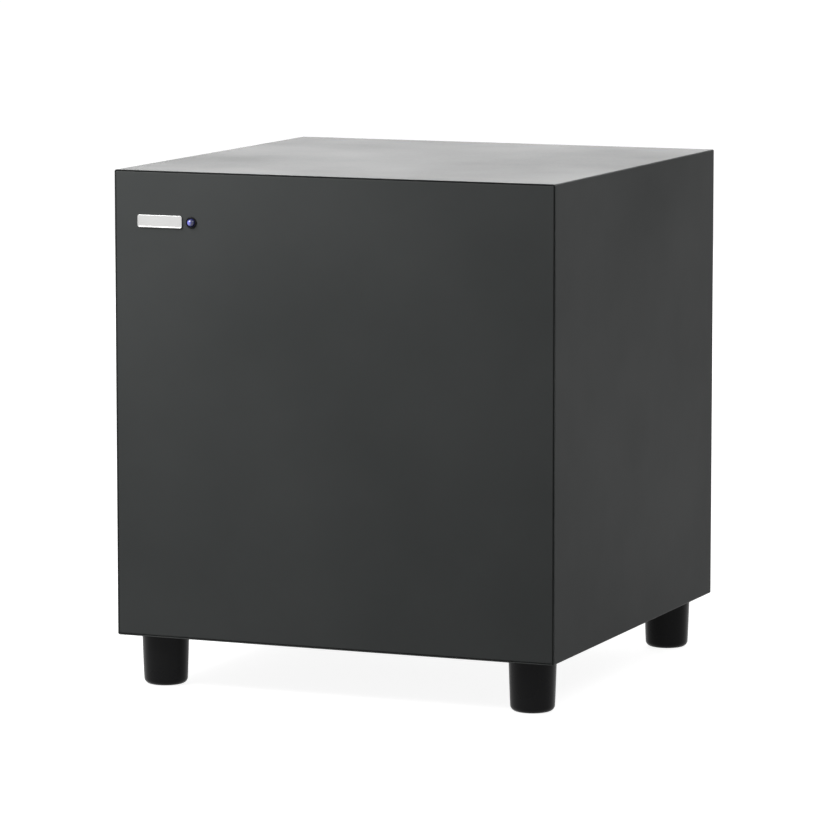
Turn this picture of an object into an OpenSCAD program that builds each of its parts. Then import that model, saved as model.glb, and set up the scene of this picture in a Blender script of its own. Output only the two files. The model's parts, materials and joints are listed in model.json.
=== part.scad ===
// Compact powered subwoofer: a wrapped cube cabinet on four feet, with a driver that
// fires downwards, a round port and a plate amplifier in the back. Millimetres, +Z up.
// The origin is on the floor, under the middle of the whole object; the front faces -Y.

/* [Cabinet] */
// Width of the cabinet
body_w = 280; // [268:1:400]
// Depth of the cabinet, front face to back edge
body_d = 278; // [270:1:400]
// Height of the cabinet without its feet
body_h = 280; // [270:1:400]
// Thickness of the boards
board_t = 16; // [12:1:19]
// Radius of the wrapped long edges
edge_r = 1; // [0.4:0.2:3]
// How far the back panel sits inside the sleeve
rear_inset = 1; // [0:0.5:4]
// Width of the open seam round the front panel
seam_w = 0.7; // [0.3:0.1:1.5]
// Depth of the open seam
seam_depth = 2.4; // [1:0.2:4]
// Thickness of the wadding
wadding_t = 10; // [5:1:12]

/* [Front] */
// Badge centre from the left edge
badge_in = 29.6; // [25:0.2:60]
// Lamp centre from the left edge
lamp_in = 50; // [50:1:90]
// Badge and lamp centres below the top edge
front_drop = 30; // [24:1:60]
// Width of the blank badge
badge_w = 28.8; // [16:0.2:30]
// Height of the blank badge
badge_h = 7.4; // [5:0.2:12]
// Thickness of the badge
badge_t = 0.8; // [0.4:0.1:2]
// Outer diameter of the lamp bezel
bezel_d = 6.8; // [6.4:0.2:10]
// Diameter of the lamp's lens
lens_d = 4.8; // [3:0.2:5]
// How far the lens stands out of the front
lens_proud = 2.6; // [1:0.2:4]

/* [Feet] */
// Height of the feet
foot_h = 31.5; // [24:0.5:60]
// Diameter of a foot at its top
foot_top_d = 28.4; // [26:0.2:36]
// Diameter of a foot near its bottom
foot_low_d = 26.4; // [22:0.2:32]
// Foot centre from the cabinet's faces
foot_in = 21.5; // [20:0.5:40]
// Radius of the rounded lower edge
foot_round = 3.5; // [1:0.5:5]
// Diameter of the screw well in a foot
foot_well_d = 13; // [11:0.5:16]

/* [Driver] */
// Outer diameter of the driver's frame
frame_d = 206; // [190:1:220]
// Outer diameter of the basket's wall
basket_d = 183; // [176:1:186]
// Height of the basket above its flange's front
basket_h = 60; // [56:1:70]
// Diameter of the cone
cone_d = 150; // [140:1:152]
// Diameter of the dust cap
dust_cap_d = 60; // [44:1:80]
// Diameter of the magnet
magnet_d = 100; // [80:1:114]
// Thickness of the magnet
magnet_t = 18; // [17:1:24]
// Thickness of the steel plates
steel_t = 6; // [4:0.5:8]
// Diameter of the pole piece
pole_d = 37; // [30:0.5:40]
// Cone travel each way
cone_travel = 6; // [3:0.5:6]
// Circle of the driver's screws
screw_circle_d = 196; // [190:1:210]
// Number of driver screws
driver_screw_n = 8; // [6:1:8]

/* [Port] */
// Inner diameter of the port
port_d = 56; // [40:1:60]
// Length of the port tube
port_l = 150; // [100:1:180]
// Radius of the port's flared mouth
flare_r = 11; // [8:1:14]
// Port centre from the cabinet's middle
port_x = 78; // [74:1:84]

/* [Amplifier] */
// Width of the amplifier plate
amp_w = 140; // [140:1:144]
// Height of the amplifier plate
amp_h = 216; // [216:1:236]
// Amplifier centre from the cabinet's middle
amp_x = -44; // [-48:1:-43]
// Amplifier plate's lower edge above the cabinet's underside
amp_z = 30; // [26:1:34]
// Thickness of the amplifier plate
plate_t = 2.5; // [1.5:0.1:4]
// Thickness of the foam gasket
gasket_t = 1.5; // [1:0.1:3]
// Diameter of a knob
knob_d = 18; // [15:0.5:22]
// Height of a knob
knob_h = 14; // [10:0.5:18]
// Depth from the plate to the circuit board
board_gap = 21; // [20:0.5:26]
// Diameter of the transformer
transformer_d = 76; // [60:1:78]
// Axial height of the transformer
transformer_h = 34; // [24:1:38]
// Travel of a slide switch
slide_travel = 4; // [2:0.5:4]
// Angle that the mains rocker turns through
rocker_turn = 20; // [10:1:24]
// Angle that a speaker lever is pressed through
lever_turn = 18; // [10:1:20]

/* [Hidden] */
$fn = 72;

// A cut runs this far past the surface that it opens
past = 1;
// Clearance round a screw in its hole, all round
screw_clear = 0.1;
// Radial clearance of a part that turns in a bore
turn_clear = 0.05;
// Gap between a soft part and what carries it
soft_gap = 0.3;

// Where the cabinet stands: the whole object's box is centred on the origin
front_out = body_d / 2 + lens_proud;
knob_gap = 0.6;
back_out = body_d / 2 - rear_inset + gasket_t + plate_t + knob_gap + knob_h;
cabinet_y = (front_out - back_out) / 2;

// Inner faces of the boards, in the cabinet's own frame (its underside at z = 0)
front_y = -body_d / 2;
inner_x = body_w / 2 - board_t;
inner_top = body_h - board_t;
inner_front = front_y + board_t;
rear_y = body_d / 2 - rear_inset;
inner_rear = rear_y - board_t;
lamp_x = -body_w / 2 + lamp_in;
badge_x = -body_w / 2 + badge_in;
front_z = body_h - front_drop;

// Driver, measured up from the cabinet's underside
driver_y = -8;
trim_t = 2.4;
lip_t = 0.6;
flange_t = 3;
flange_z = trim_t + lip_t;
recess_depth = flange_z + flange_t;
recess_clear = 0.5;
wall_t = 2.5;
wall_top = 15;
seat_r = basket_d / 2 - wall_t;
shelf_z = basket_h - 12;
neck_top = basket_h - 15;
hub_r = 60;
hub_hole_r = 24;
leg_angle = 16;
leg_n = 6;
gap_w = 2.4;
coil_t = 1.0;
former_t = 0.4;
former_r = pole_d / 2 + 0.45;
coil_h = steel_t + 2 * cone_travel;
front_plate_z = basket_h;
magnet_z = front_plate_z + steel_t;
back_plate_z = magnet_z + magnet_t;
coil_mid = front_plate_z + steel_t / 2;
former_top = coil_mid + coil_h / 2 + 4;
cone_t = 0.9;
cone_low = flange_z + 0.4;
neck_z = 40;
neck_r = former_r + former_t + 0.05;
roll_t = 0.8;
roll_in = cone_d / 2 - 0.6;
roll_out = seat_r + 0.2;
roll_mid = (roll_in + roll_out) / 2;
roll_r = (roll_out - roll_in) / 2;
spider_r = 54;
spider_t = 0.8;
driver_screw_r = 2;
driver_screw_l = 11;
screw_start = 22.5;

// Port
port_wall = 2.4;
port_z = amp_z + amp_h - port_d / 2 - flare_r - 3;
port_rim = 3;
port_spigot_r = port_d / 2 + port_wall;
port_fit = 0.1;
port_tube_r = port_spigot_r + port_fit + port_wall;
spigot_l = 40;

// Amplifier plate, its faces and the rows of controls
plate_in = rear_y + gasket_t;
plate_out = plate_in + plate_t;
amp_mid_z = amp_z + amp_h / 2;
amp_margin = 10;
control_z = amp_z + amp_h - 24;
switch_z = control_z - 26;
socket_z = control_z - 56;
transformer_z = amp_z + 74;
inlet_z = amp_z + 24;
control_dx = 30;
circuit_y = plate_in - board_gap;
circuit_t = 1.5;
circuit_back = circuit_y - circuit_t;
circuit_w = 110;
circuit_low = socket_z - 16;
circuit_top = control_z + 12;
amp_screw_r = 1.75;
amp_screw_l = 12;
amp_screw_in = 5;
transformer_x = amp_x - 18;
transformer_hole_r = 12;
bolt_r = 3;
sink_x = amp_x + 24;
sink_w = 36;
sink_low = transformer_z - transformer_d / 2;
sink_h = 80;
sink_base_t = 5;
fin_n = 6;
fin_t = 1.6;
fin_depth = 22;
fin_h = 60;

// Knobs and their controls
spindle_r = 3;
bushing_r = 3.5;
bushing_out = 3;
nut_r = 5.5;
nut_t = 2;
knob_y = plate_out + knob_gap;

// Slide switches
slider_w = 4;
slider_h = 5;
slider_out = 3;
slide_clear = 0.3;

// Mains rocker
rocker_w = 10;
rocker_r = 8;
rocker_y = plate_out + 1;
rocker_x = amp_x + 26;
inlet_x = amp_x - 30;

// Speaker terminals
lever_r = 15;
lever_w = 10.6;
lever_pitch = 13.2;
lever_n = 4;
lever_rest = 5;
lever_wedge = 20;
lever_y = plate_out + 0.5;
lever_z = socket_z + 8;
lever_pin_r = 1;
terminals_x = amp_x + 20;
terminal_flange = [58, 28];
terminal_body = [54, 25];
flange_out = 2;

// Line sockets
line_x = amp_x - 40;
line_pitch = 15;
line_r = 4.15;
line_out = 9;

// The strip on the basket that the speaker leads end at
strip_angle = 34;
strip_low = neck_top + 1;
strip_h = 11;
strip_t = 2.5;
tab_angle = 8;
tab_reach = 8;
tab_tip_r = hub_r + strip_t + tab_reach - 0.5;
tab_tip_x = tab_tip_r * sin(tab_angle);
tab_tip_y = driver_y + tab_tip_r * cos(tab_angle);
tab_z = strip_low + 6;

// Inner ends of the solder tabs on the mains inlet and the mains switch
inlet_tab_y = plate_out - 28;
inlet_tab_z = inlet_z - 1.5;
switch_tab_y = plate_out - 24;
switch_tab_dz = 6;

// Routes of the leads, in the cabinet's frame, from end to end
lead_d = 2.4;
tinsel_d = 1.4;
lead_z = circuit_low + 8;
function speaker_route(side) = [
    [side * 8 - 6, circuit_back, lead_z], [side * 8 - 6, circuit_back - 9, lead_z],
    [side * 8 - 5, 98, lead_z - 9], [side * 8 - 2, 93, 132], [side * 8, 88, 108],
    [side * 9, 80, 80], [side * tab_tip_x, tab_tip_y + 9, tab_z + 6],
    [side * tab_tip_x, tab_tip_y + 0.1, tab_z]
];
lamp_route = [
    [lamp_x, inner_front + 1, front_z], [lamp_x, inner_front + 9, front_z - 1],
    [-94, -104, front_z - 4], [-98, -80, front_z - 5], [-100, -30, front_z - 6],
    [-100, 30, front_z - 7], [-96, 84, control_z + 14], [-90, 104, control_z + 6],
    [-90, circuit_back - 5, control_z + 2], [-90, circuit_back, control_z + 2]
];
live_route = [
    [inlet_x - 7, inlet_tab_y, inlet_tab_z], [inlet_x - 7, inlet_tab_y - 6, inlet_tab_z],
    [-92, 100, 58], [-104, 96, 74], [-108, 94, 104], [-106, 96, 134], [-98, 104, lead_z - 6],
    [-94, circuit_back - 6, lead_z], [-94, circuit_back, lead_z]
];
switch_route = [
    [rocker_x, switch_tab_y, inlet_z + switch_tab_dz],
    [rocker_x, switch_tab_y - 9, inlet_z + switch_tab_dz],
    [-27, 99, 60], [-42, 95, 57], [-58, 98, 54],
    [inlet_x + 7, inlet_tab_y - 7, inlet_tab_z], [inlet_x + 7, inlet_tab_y, inlet_tab_z]
];
neutral_route = [
    [rocker_x, switch_tab_y, inlet_z - switch_tab_dz],
    [rocker_x, switch_tab_y - 10, inlet_z - switch_tab_dz],
    [-14, 99, 52], [-6, 96, 68], [-4, 96, 104], [-5, 98, 136], [-6, 104, lead_z - 7],
    [-6, circuit_back - 6, lead_z], [-6, circuit_back, lead_z]
];
winding_route = [
    [transformer_x - 2, plate_in - transformer_h, transformer_z + 31],
    [transformer_x - 2, plate_in - transformer_h - 6, transformer_z + 32],
    [-67, 97, 144], [-71, 102, lead_z - 4], [-72, circuit_back - 5, lead_z],
    [-72, circuit_back, lead_z]
];

// Finishes
vinyl = [0.13, 0.13, 0.13];
black_plastic = [0.05, 0.05, 0.05];
plate_black = [0.08, 0.08, 0.085];
steel = [0.6, 0.6, 0.62];
zinc = [0.72, 0.72, 0.7];
copper = [0.72, 0.42, 0.22];
paper = [0.09, 0.09, 0.09];
rubber = [0.05, 0.05, 0.055];

// ---- Helpers ----

// Moves a piece from the cabinet's frame to the floor's
module in_cabinet()
    translate([0, cabinet_y, foot_h])
        children();

// An outline in X and Z, made solid between two depths
module slab(y0, y1)
    translate([0, y1, 0])
        rotate([90, 0, 0])
            linear_extrude(y1 - y0)
                children();

// A round bar along Y
module bar(x, y0, y1, z, r)
    translate([x, y0, z])
        rotate([-90, 0, 0])
            cylinder(r = r, h = y1 - y0);

// A block given by its centre in X and Z and its two depths
module block(x, z, w, h, y0, y1)
    translate([x - w / 2, y0, z - h / 2])
        cube([w, y1 - y0, h]);

// A rectangle with round corners, exact arcs
module round_rect(w, h, r) {
    square([w - 2 * r, h], center = true);
    square([w, h - 2 * r], center = true);
    for (sx = [-1, 1], sy = [-1, 1])
        translate([sx * (w / 2 - r), sy * (h / 2 - r)])
            circle(r);
}

// A solid of revolution round the driver's axis
module driver_turned()
    translate([0, driver_y, 0])
        rotate_extrude()
            children();

// A solid of revolution along Y, its profile as [radius, depth]
module turned_y(x, z)
    translate([x, 0, z])
        rotate([-90, 0, 0])
            rotate_extrude()
                children();

// A cross recess in a screw head that faces +Z
module cross_recess(size, depth)
    for (turn = [0, 90])
        rotate(turn)
            translate([-size / 2, -size / 10, -depth])
                cube([size, size / 5, depth + past]);

// A pan-head screw: head on top of z = 0, shank below it
module pan_screw(shank_r, length, head_r, head_h) {
    difference() {
        union() {
            translate([0, 0, -length])
                cylinder(r = shank_r, h = length);
            rotate_extrude()
                intersection() {
                    square([head_r, head_h]);
                    translate([0, head_h - head_r * 1.6])
                        circle(head_r * 1.6);
                }
        }
        translate([0, 0, head_h])
            cross_recess(head_r * 1.1, head_h * 0.6);
    }
}

// One corner of a Catmull-Rom span, at t from b to c
function between(a, b, c, d, t) =
    0.5 * (2 * b + (c - a) * t + (2 * a - 5 * b + 4 * c - d) * t * t
           + (3 * b - a - 3 * c + d) * t * t * t);

// A smooth path through the route's points, with rings about this far apart
function smooth_path(route, step) = [
    for (i = [0 : len(route) - 2])
        let (a = route[max(i - 1, 0)])
        let (b = route[i])
        let (c = route[i + 1])
        let (d = route[min(i + 2, len(route) - 1)])
        let (n = max(1, round(norm(c - b) / step)))
        for (k = [0 : (i == len(route) - 2 ? n : n - 1)])
            between(a, b, c, d, k / n)
];

function unit(v) = v / norm(v);

// The path's direction at one of its points
function heading(path, i) =
    unit(path[min(i + 1, len(path) - 1)] - path[max(i - 1, 0)]);

// A lead: one closed tube swept along a route, which never runs along the side vector
module tube(route, d, side) {
    sides = 8;
    path = smooth_path(route, d * 2.6);
    rings = len(path);
    points = [
        for (i = [0 : rings - 1])
            let (t = heading(path, i))
            let (u = unit(cross(t, side)))
            let (v = cross(t, u))
            for (k = [0 : sides - 1])
                let (a = 360 * k / sides)
                path[i] + d / 2 * (cos(a) * u + sin(a) * v)
    ];
    sides_faces = [
        for (i = [0 : rings - 2])
            for (k = [0 : sides - 1])
                let (m = (k + 1) % sides)
                [i * sides + k, (i + 1) * sides + k, (i + 1) * sides + m, i * sides + m]
    ];
    first = [for (k = [0 : sides - 1]) k];
    last = [for (k = [sides - 1 : -1 : 0]) (rings - 1) * sides + k];
    polyhedron(points, concat(sides_faces, [first, last]), convexity = 8);
}

// ---- Cabinet ----

// Section of the wrapped sleeve's outside
module sleeve_outline()
    translate([0, body_h / 2])
        round_rect(body_w, body_h, edge_r);

// What the front panel's mitres leave: a flat pyramid with its wide side in front,
// its slanted sides moved inwards by this much
module front_wedge(inwards = 0) {
    far = body_d / 2;
    wide = body_w / 2 - inwards;
    intersection() {
        translate([0, 0, -past])
            linear_extrude(body_h + 2 * past)
                polygon([
                    [-wide - far, front_y - far], [wide + far, front_y - far],
                    [wide - board_t, inner_front], [board_t - wide, inner_front]
                ]);
        translate([-body_w / 2 - past, 0, 0])
            rotate([90, 0, 90])
                linear_extrude(body_w + 2 * past)
                    polygon([
                        [front_y - far, inwards - far],
                        [front_y - far, body_h - inwards + far],
                        [inner_front, body_h - inwards - board_t],
                        [inner_front, inwards + board_t]
                    ]);
    }
}

// A board of the sleeve, cut from the rounded block by its mitred section
module sleeve_board(section)
    difference() {
        intersection() {
            slab(front_y, body_d / 2)
                sleeve_outline();
            slab(front_y - past, body_d / 2 + past)
                polygon(section);
        }
        front_wedge();
    }

// Mitred section of a board, from its outer corners a and b and the side it faces
function mitred(a, b, inward_a, inward_b) = [
    a - past * inward_a, b - past * inward_b, b + board_t * inward_b, a + board_t * inward_a
];

module top_panel()
    color(vinyl)
        in_cabinet()
            sleeve_board(mitred([-body_w / 2, body_h], [body_w / 2, body_h], [1, -1], [-1, -1]));

module left_panel()
    color(vinyl)
        in_cabinet()
            sleeve_board(mitred([-body_w / 2, 0], [-body_w / 2, body_h], [1, 1], [1, -1]));

module right_panel()
    color(vinyl)
        in_cabinet()
            sleeve_board(mitred([body_w / 2, 0], [body_w / 2, body_h], [-1, 1], [-1, -1]));

module bottom_panel()
    color(vinyl)
        in_cabinet()
            difference() {
                sleeve_board(mitred([-body_w / 2, 0], [body_w / 2, 0], [1, 1], [-1, 1]));
                translate([0, driver_y, -past]) {
                    cylinder(r = frame_d / 2 + recess_clear, h = recess_depth + past);
                    cylinder(r = basket_d / 2 + recess_clear, h = board_t + 2 * past);
                }
                at_driver_screws()
                    cylinder(r = driver_screw_r + screw_clear, h = flange_z + driver_screw_l + past);
                at_feet()
                    translate([0, 0, -past])
                        cylinder(r = foot_screw_r + screw_clear, h = past + foot_screw_in);
            }

// The board meets the sleeve along its mitres, but for the open seam at the very front
module front_panel() {
    seam_y = front_y + seam_depth * cos(45);
    color(vinyl)
        in_cabinet()
            difference() {
                union() {
                    intersection() {
                        front_wedge(seam_w / cos(45));
                        slab(front_y, seam_y + past)
                            sleeve_outline();
                    }
                    intersection() {
                        front_wedge();
                        slab(seam_y, inner_front)
                            sleeve_outline();
                    }
                }
                bar(lamp_x, front_y - past, inner_front + past, front_z, bezel_d / 2 - 0.4);
            }
}

module rear_panel()
    color(vinyl)
        in_cabinet()
            difference() {
                slab(inner_rear, rear_y)
                    translate([0, body_h / 2])
                        square([2 * inner_x, body_h - 2 * board_t], center = true);
                block(amp_x, amp_mid_z, amp_w - 2 * amp_margin, amp_h - 2 * amp_margin,
                      inner_rear - past, rear_y + past);
                bar(port_x, inner_rear - past, rear_y + past, port_z, port_tube_r + 0.5);
                at_amp_screws()
                    bar(0, -amp_screw_l - past, past, 0, amp_screw_r + screw_clear);
            }

// Polyester wadding laid over the two sides and the top
module wadding()
    color([0.85, 0.85, 0.82])
        in_cabinet()
            slab(inner_front + 8, inner_front + 183)
                difference() {
                    translate([-inner_x, board_t + 44])
                        square([2 * inner_x, inner_top - board_t - 44]);
                    translate([-inner_x + wadding_t, 0])
                        square([2 * (inner_x - wadding_t), inner_top - wadding_t]);
                }

module badge_plate()
    color([0.8, 0.8, 0.78])
        in_cabinet()
            slab(front_y - badge_t, front_y)
                translate([badge_x, front_z])
                    round_rect(badge_w, badge_h, 1.2);

bezel_lip = 0.8;
barrel_l = 8;

module lamp_bezel()
    color(black_plastic)
        in_cabinet()
            turned_y(lamp_x, front_z) {
                translate([lens_d / 2 + 0.1, front_y])
                    square([bezel_d / 2 - 0.5 - lens_d / 2 - 0.1, barrel_l]);
                difference() {
                    translate([lens_d / 2 + 0.1, front_y - bezel_lip])
                        square([bezel_d / 2 - lens_d / 2 - 0.1, bezel_lip]);
                    translate([bezel_d / 2, front_y - bezel_lip])
                        rotate(45)
                            square(0.5, center = true);
                }
            }

module status_lamp()
    color([0.45, 0.5, 0.95])
        in_cabinet() {
            turned_y(lamp_x, front_z) {
                intersection() {
                    translate([0, front_y - lens_proud + lens_d / 2])
                        circle(lens_d / 2);
                    translate([0, front_y - lens_proud - past])
                        square([lens_d, lens_d]);
                }
                translate([0, front_y - lens_proud + lens_d / 2])
                    square([lens_d / 2, barrel_l + lens_proud - lens_d / 2]);
                translate([0, front_y + barrel_l])
                    square([bezel_d / 2 - 0.6, 1]);
            }
            for (side = [-1, 1])
                block(lamp_x + side * 1.27, front_z, 0.5, 0.5,
                      front_y + barrel_l + 1, inner_front + 1);
        }

// ---- Feet ----

foot_screw_r = 2;
foot_screw_in = 13;
foot_roof = 6;

module at_feet()
    for (sx = [-1, 1], sy = [-1, 1])
        translate([sx * (body_w / 2 - foot_in), sy * (body_d / 2 - foot_in), 0])
            children();

// Points of a quarter circle from its side to its bottom, as [radius, height]
function lower_round(x, z, r, steps = 6) =
    [for (k = [0 : steps]) let (a = 90 * k / steps) [x + r * cos(a), z - r * sin(a)]];

module foot(sx, sy)
    color(black_plastic)
        in_cabinet()
            translate([sx * (body_w / 2 - foot_in), sy * (body_d / 2 - foot_in), 0])
                rotate_extrude()
                    polygon(concat(
                        [[foot_screw_r + 0.3, 0], [foot_top_d / 2, 0]],
                        lower_round(foot_low_d / 2 - foot_round, foot_round - foot_h, foot_round),
                        [[foot_well_d / 2, -foot_h], [foot_well_d / 2, -foot_roof],
                         [foot_screw_r + 0.3, -foot_roof]]
                    ));

module foot_screws()
    color(zinc)
        in_cabinet()
            at_feet()
                translate([0, 0, -foot_roof])
                    rotate([180, 0, 0])
                        pan_screw(foot_screw_r, foot_roof + foot_screw_in - 1, 4.2, 2.6);

// ---- Driver ----

module at_driver_screws()
    translate([0, driver_y, 0])
        for (k = [0 : driver_screw_n - 1])
            rotate(screw_start + k * 360 / driver_screw_n)
                translate([screw_circle_d / 2, 0, 0])
                    children();

module basket()
    color(black_plastic)
        in_cabinet()
            difference() {
                driver_turned()
                    polygon([
                        [seat_r, flange_z], [frame_d / 2, flange_z],
                        [frame_d / 2, recess_depth], [basket_d / 2, recess_depth],
                        [basket_d / 2, wall_top], [hub_r, neck_top], [hub_r, basket_h],
                        [hub_hole_r, basket_h], [hub_hole_r, basket_h - 2],
                        [hub_r - 2, basket_h - 2], [hub_r - 2, shelf_z + 2],
                        [47, shelf_z + 2], [47, shelf_z], [hub_r - 2.5, shelf_z],
                        [hub_r - 2.5, neck_top - 0.5], [seat_r, wall_top]
                    ]);
                translate([0, driver_y, wall_top + 2])
                    for (k = [0 : leg_n - 1])
                        rotate(30 + leg_angle / 2 + k * 360 / leg_n)
                            rotate_extrude(angle = 360 / leg_n - leg_angle)
                                translate([hub_r - 8, 0])
                                    square([basket_d / 2, neck_top - wall_top - 3]);
                at_driver_screws()
                    cylinder(r = driver_screw_r + 0.3, h = recess_depth + past);
            }

// Ring that clamps the surround's lip to the flange
module trim_ring()
    color(black_plastic)
        in_cabinet()
            driver_turned()
                difference() {
                    translate([seat_r + 0.3, 0])
                        square([4.6, trim_t]);
                    translate([seat_r + 4.9, 0])
                        rotate(45)
                            square(1, center = true);
                    translate([seat_r + 0.3, 0])
                        rotate(45)
                            square(0.8, center = true);
                }

// Half-roll surround: outer lip on the flange, roll hanging below it, inner lip at the cone
module surround()
    color(rubber)
        in_cabinet()
            driver_turned() {
                translate([roll_out - roll_t, trim_t])
                    square([4.6 + roll_t, lip_t]);
                difference() {
                    translate([roll_mid, flange_z])
                        circle(roll_r);
                    translate([roll_mid, flange_z])
                        circle(roll_r - roll_t);
                    translate([roll_mid - 2 * roll_r, flange_z])
                        square(4 * roll_r);
                }
                translate([roll_in - 4, trim_t])
                    square([4 + roll_t, lip_t]);
            }

// The cone's height above the cabinet's underside at a radius
function cone_z(r) =
    let (t = (cone_d / 2 - r) / (cone_d / 2 - neck_r))
    cone_low + (neck_z - cone_low) * (0.8 * t + 0.2 * t * t);

cone_steps = 8;

module cone()
    color(paper)
        in_cabinet()
            driver_turned()
                polygon(concat(
                    [for (k = [0 : cone_steps])
                        let (r = cone_d / 2 + (neck_r - cone_d / 2) * k / cone_steps)
                        [r, cone_z(r)]],
                    [for (k = [cone_steps : -1 : 0])
                        let (r = cone_d / 2 + (neck_r - cone_d / 2) * k / cone_steps)
                        [r, cone_z(r) + cone_t]]
                ));

cap_rise = 9;
cap_t = 0.7;

// A shallow dome that closes the middle of the cone, bulging towards the floor
module dust_cap()
    color(paper)
        in_cabinet() {
            edge = dust_cap_d / 2;
            sphere_r = (edge * edge + cap_rise * cap_rise) / (2 * cap_rise);
            seat = cone_z(edge) - 0.05;
            driver_turned()
                intersection() {
                    difference() {
                        translate([0, seat - cap_rise + sphere_r])
                            circle(sphere_r);
                        translate([0, seat - cap_rise + sphere_r])
                            circle(sphere_r - cap_t);
                    }
                    translate([0, seat - cap_rise - past])
                        square([edge, cap_rise + past]);
                }
        }

module coil_former()
    color([0.75, 0.7, 0.5])
        in_cabinet()
            driver_turned()
                translate([former_r, neck_z - 4])
                    square([former_t, former_top - neck_z + 4]);

module voice_coil()
    color(copper)
        in_cabinet()
            driver_turned()
                translate([former_r + former_t, coil_mid - coil_h / 2])
                    square([coil_t, coil_h]);

// Corrugated disc, its height following a cosine
spider_in = former_r + former_t + soft_gap;
spider_rolls = 5;
spider_depth = 1.6;
spider_steps = 40;

function spider_z(r) =
    let (t = min(1, max(0, (r - spider_in - 2) / (46 - spider_in))))
    shelf_z - spider_t - spider_depth + spider_depth * cos(360 * spider_rolls * t);

module spider()
    color([0.72, 0.55, 0.25])
        in_cabinet()
            driver_turned()
                polygon(concat(
                    [for (k = [0 : spider_steps])
                        let (r = spider_in + (spider_r - spider_in) * k / spider_steps)
                        [r, spider_z(r)]],
                    [for (k = [spider_steps : -1 : 0])
                        let (r = spider_in + (spider_r - spider_in) * k / spider_steps)
                        [r, spider_z(r) + spider_t]]
                ));

module front_plate()
    color(steel)
        in_cabinet()
            driver_turned()
                translate([pole_d / 2 + gap_w, front_plate_z])
                    square([magnet_d / 2 - 2 - pole_d / 2 - gap_w, steel_t]);

module magnet()
    color([0.2, 0.2, 0.21])
        in_cabinet()
            driver_turned()
                translate([pole_d / 2 + 8, magnet_z])
                    square([magnet_d / 2 - pole_d / 2 - 8, magnet_t]);

// Back plate and pole piece in one, with a vent through the pole
module yoke()
    color(steel)
        in_cabinet()
            driver_turned() {
                translate([5, back_plate_z])
                    square([magnet_d / 2 - 7, steel_t]);
                translate([5, front_plate_z])
                    square([pole_d / 2 - 5, back_plate_z - front_plate_z]);
            }

module terminal_strip()
    color([0.35, 0.22, 0.1])
        in_cabinet()
            translate([0, driver_y, 0]) {
                rotate(90 - strip_angle / 2)
                    rotate_extrude(angle = strip_angle)
                        translate([hub_r + 0.05, strip_low])
                            square([strip_t - 0.05, strip_h]);
                for (side = [-1, 1])
                    rotate(90 + side * tab_angle)
                        translate([hub_r + strip_t - 0.5, -0.4, strip_low + 3])
                            cube([tab_reach, 0.8, 6]);
            }

// Braided leads from the strip through the basket's windows to the back of the cone
tinsel_angle = 13.5;

function tinsel_point(r, z) = [r, 0, z];

module tinsel_leads()
    color(copper)
        in_cabinet()
            translate([0, driver_y, 0])
                for (side = [-1, 1])
                    rotate(90 + side * tinsel_angle)
                        tube([
                            tinsel_point(hub_r + 1.6, strip_low),
                            tinsel_point(hub_r + 2, neck_top - 1.5),
                            tinsel_point(hub_r - 0.5, neck_top - 5.5),
                            tinsel_point(hub_r - 7, neck_top - 8.5),
                            tinsel_point(hub_r - 17, cone_z(hub_r - 17) + 5),
                            tinsel_point(hub_r - 22, cone_z(hub_r - 22) + cone_t + 1.4)
                        ], tinsel_d, [0, 1, 0]);

module driver_screws()
    color([0.15, 0.15, 0.15])
        in_cabinet()
            at_driver_screws()
                translate([0, 0, flange_z])
                    rotate([180, 0, 0])
                        pan_screw(driver_screw_r, driver_screw_l, 3.8, 2.4);

// ---- Port ----

module port_flare()
    color(black_plastic)
        in_cabinet()
            turned_y(port_x, port_z)
                difference() {
                    union() {
                        translate([port_d / 2, rear_y])
                            square([flare_r + 3, port_rim]);
                        translate([port_d / 2, rear_y - spigot_l])
                            square([port_wall, spigot_l]);
                        translate([port_d / 2, rear_y - 8])
                            square([port_wall + 2.3, 8]);
                    }
                    difference() {
                        translate([port_d / 2 - past, rear_y + port_rim - flare_r])
                            square([flare_r + past, flare_r + past]);
                        translate([port_d / 2 + flare_r, rear_y + port_rim - flare_r])
                            circle(flare_r);
                    }
                }

module port_tube()
    color([0.12, 0.12, 0.12])
        in_cabinet()
            turned_y(port_x, port_z)
                translate([port_spigot_r + port_fit, rear_y - 8.5 - port_l])
                    square([port_wall, port_l]);

// ---- Plate amplifier ----

module at_amp_screws() {
    half_w = amp_w / 2 - amp_screw_in;
    half_h = amp_h / 2 - amp_screw_in;
    for (sx = [-1, 1], k = [-1, -1 / 3, 1 / 3, 1])
        translate([amp_x + sx * half_w, rear_y, amp_mid_z + k * half_h])
            children();
    for (sz = [-1, 1])
        translate([amp_x, rear_y, amp_mid_z + sz * half_h])
            children();
}

module plate_outline(w, h)
    translate([amp_x, amp_mid_z])
        round_rect(w, h, 3);

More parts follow.
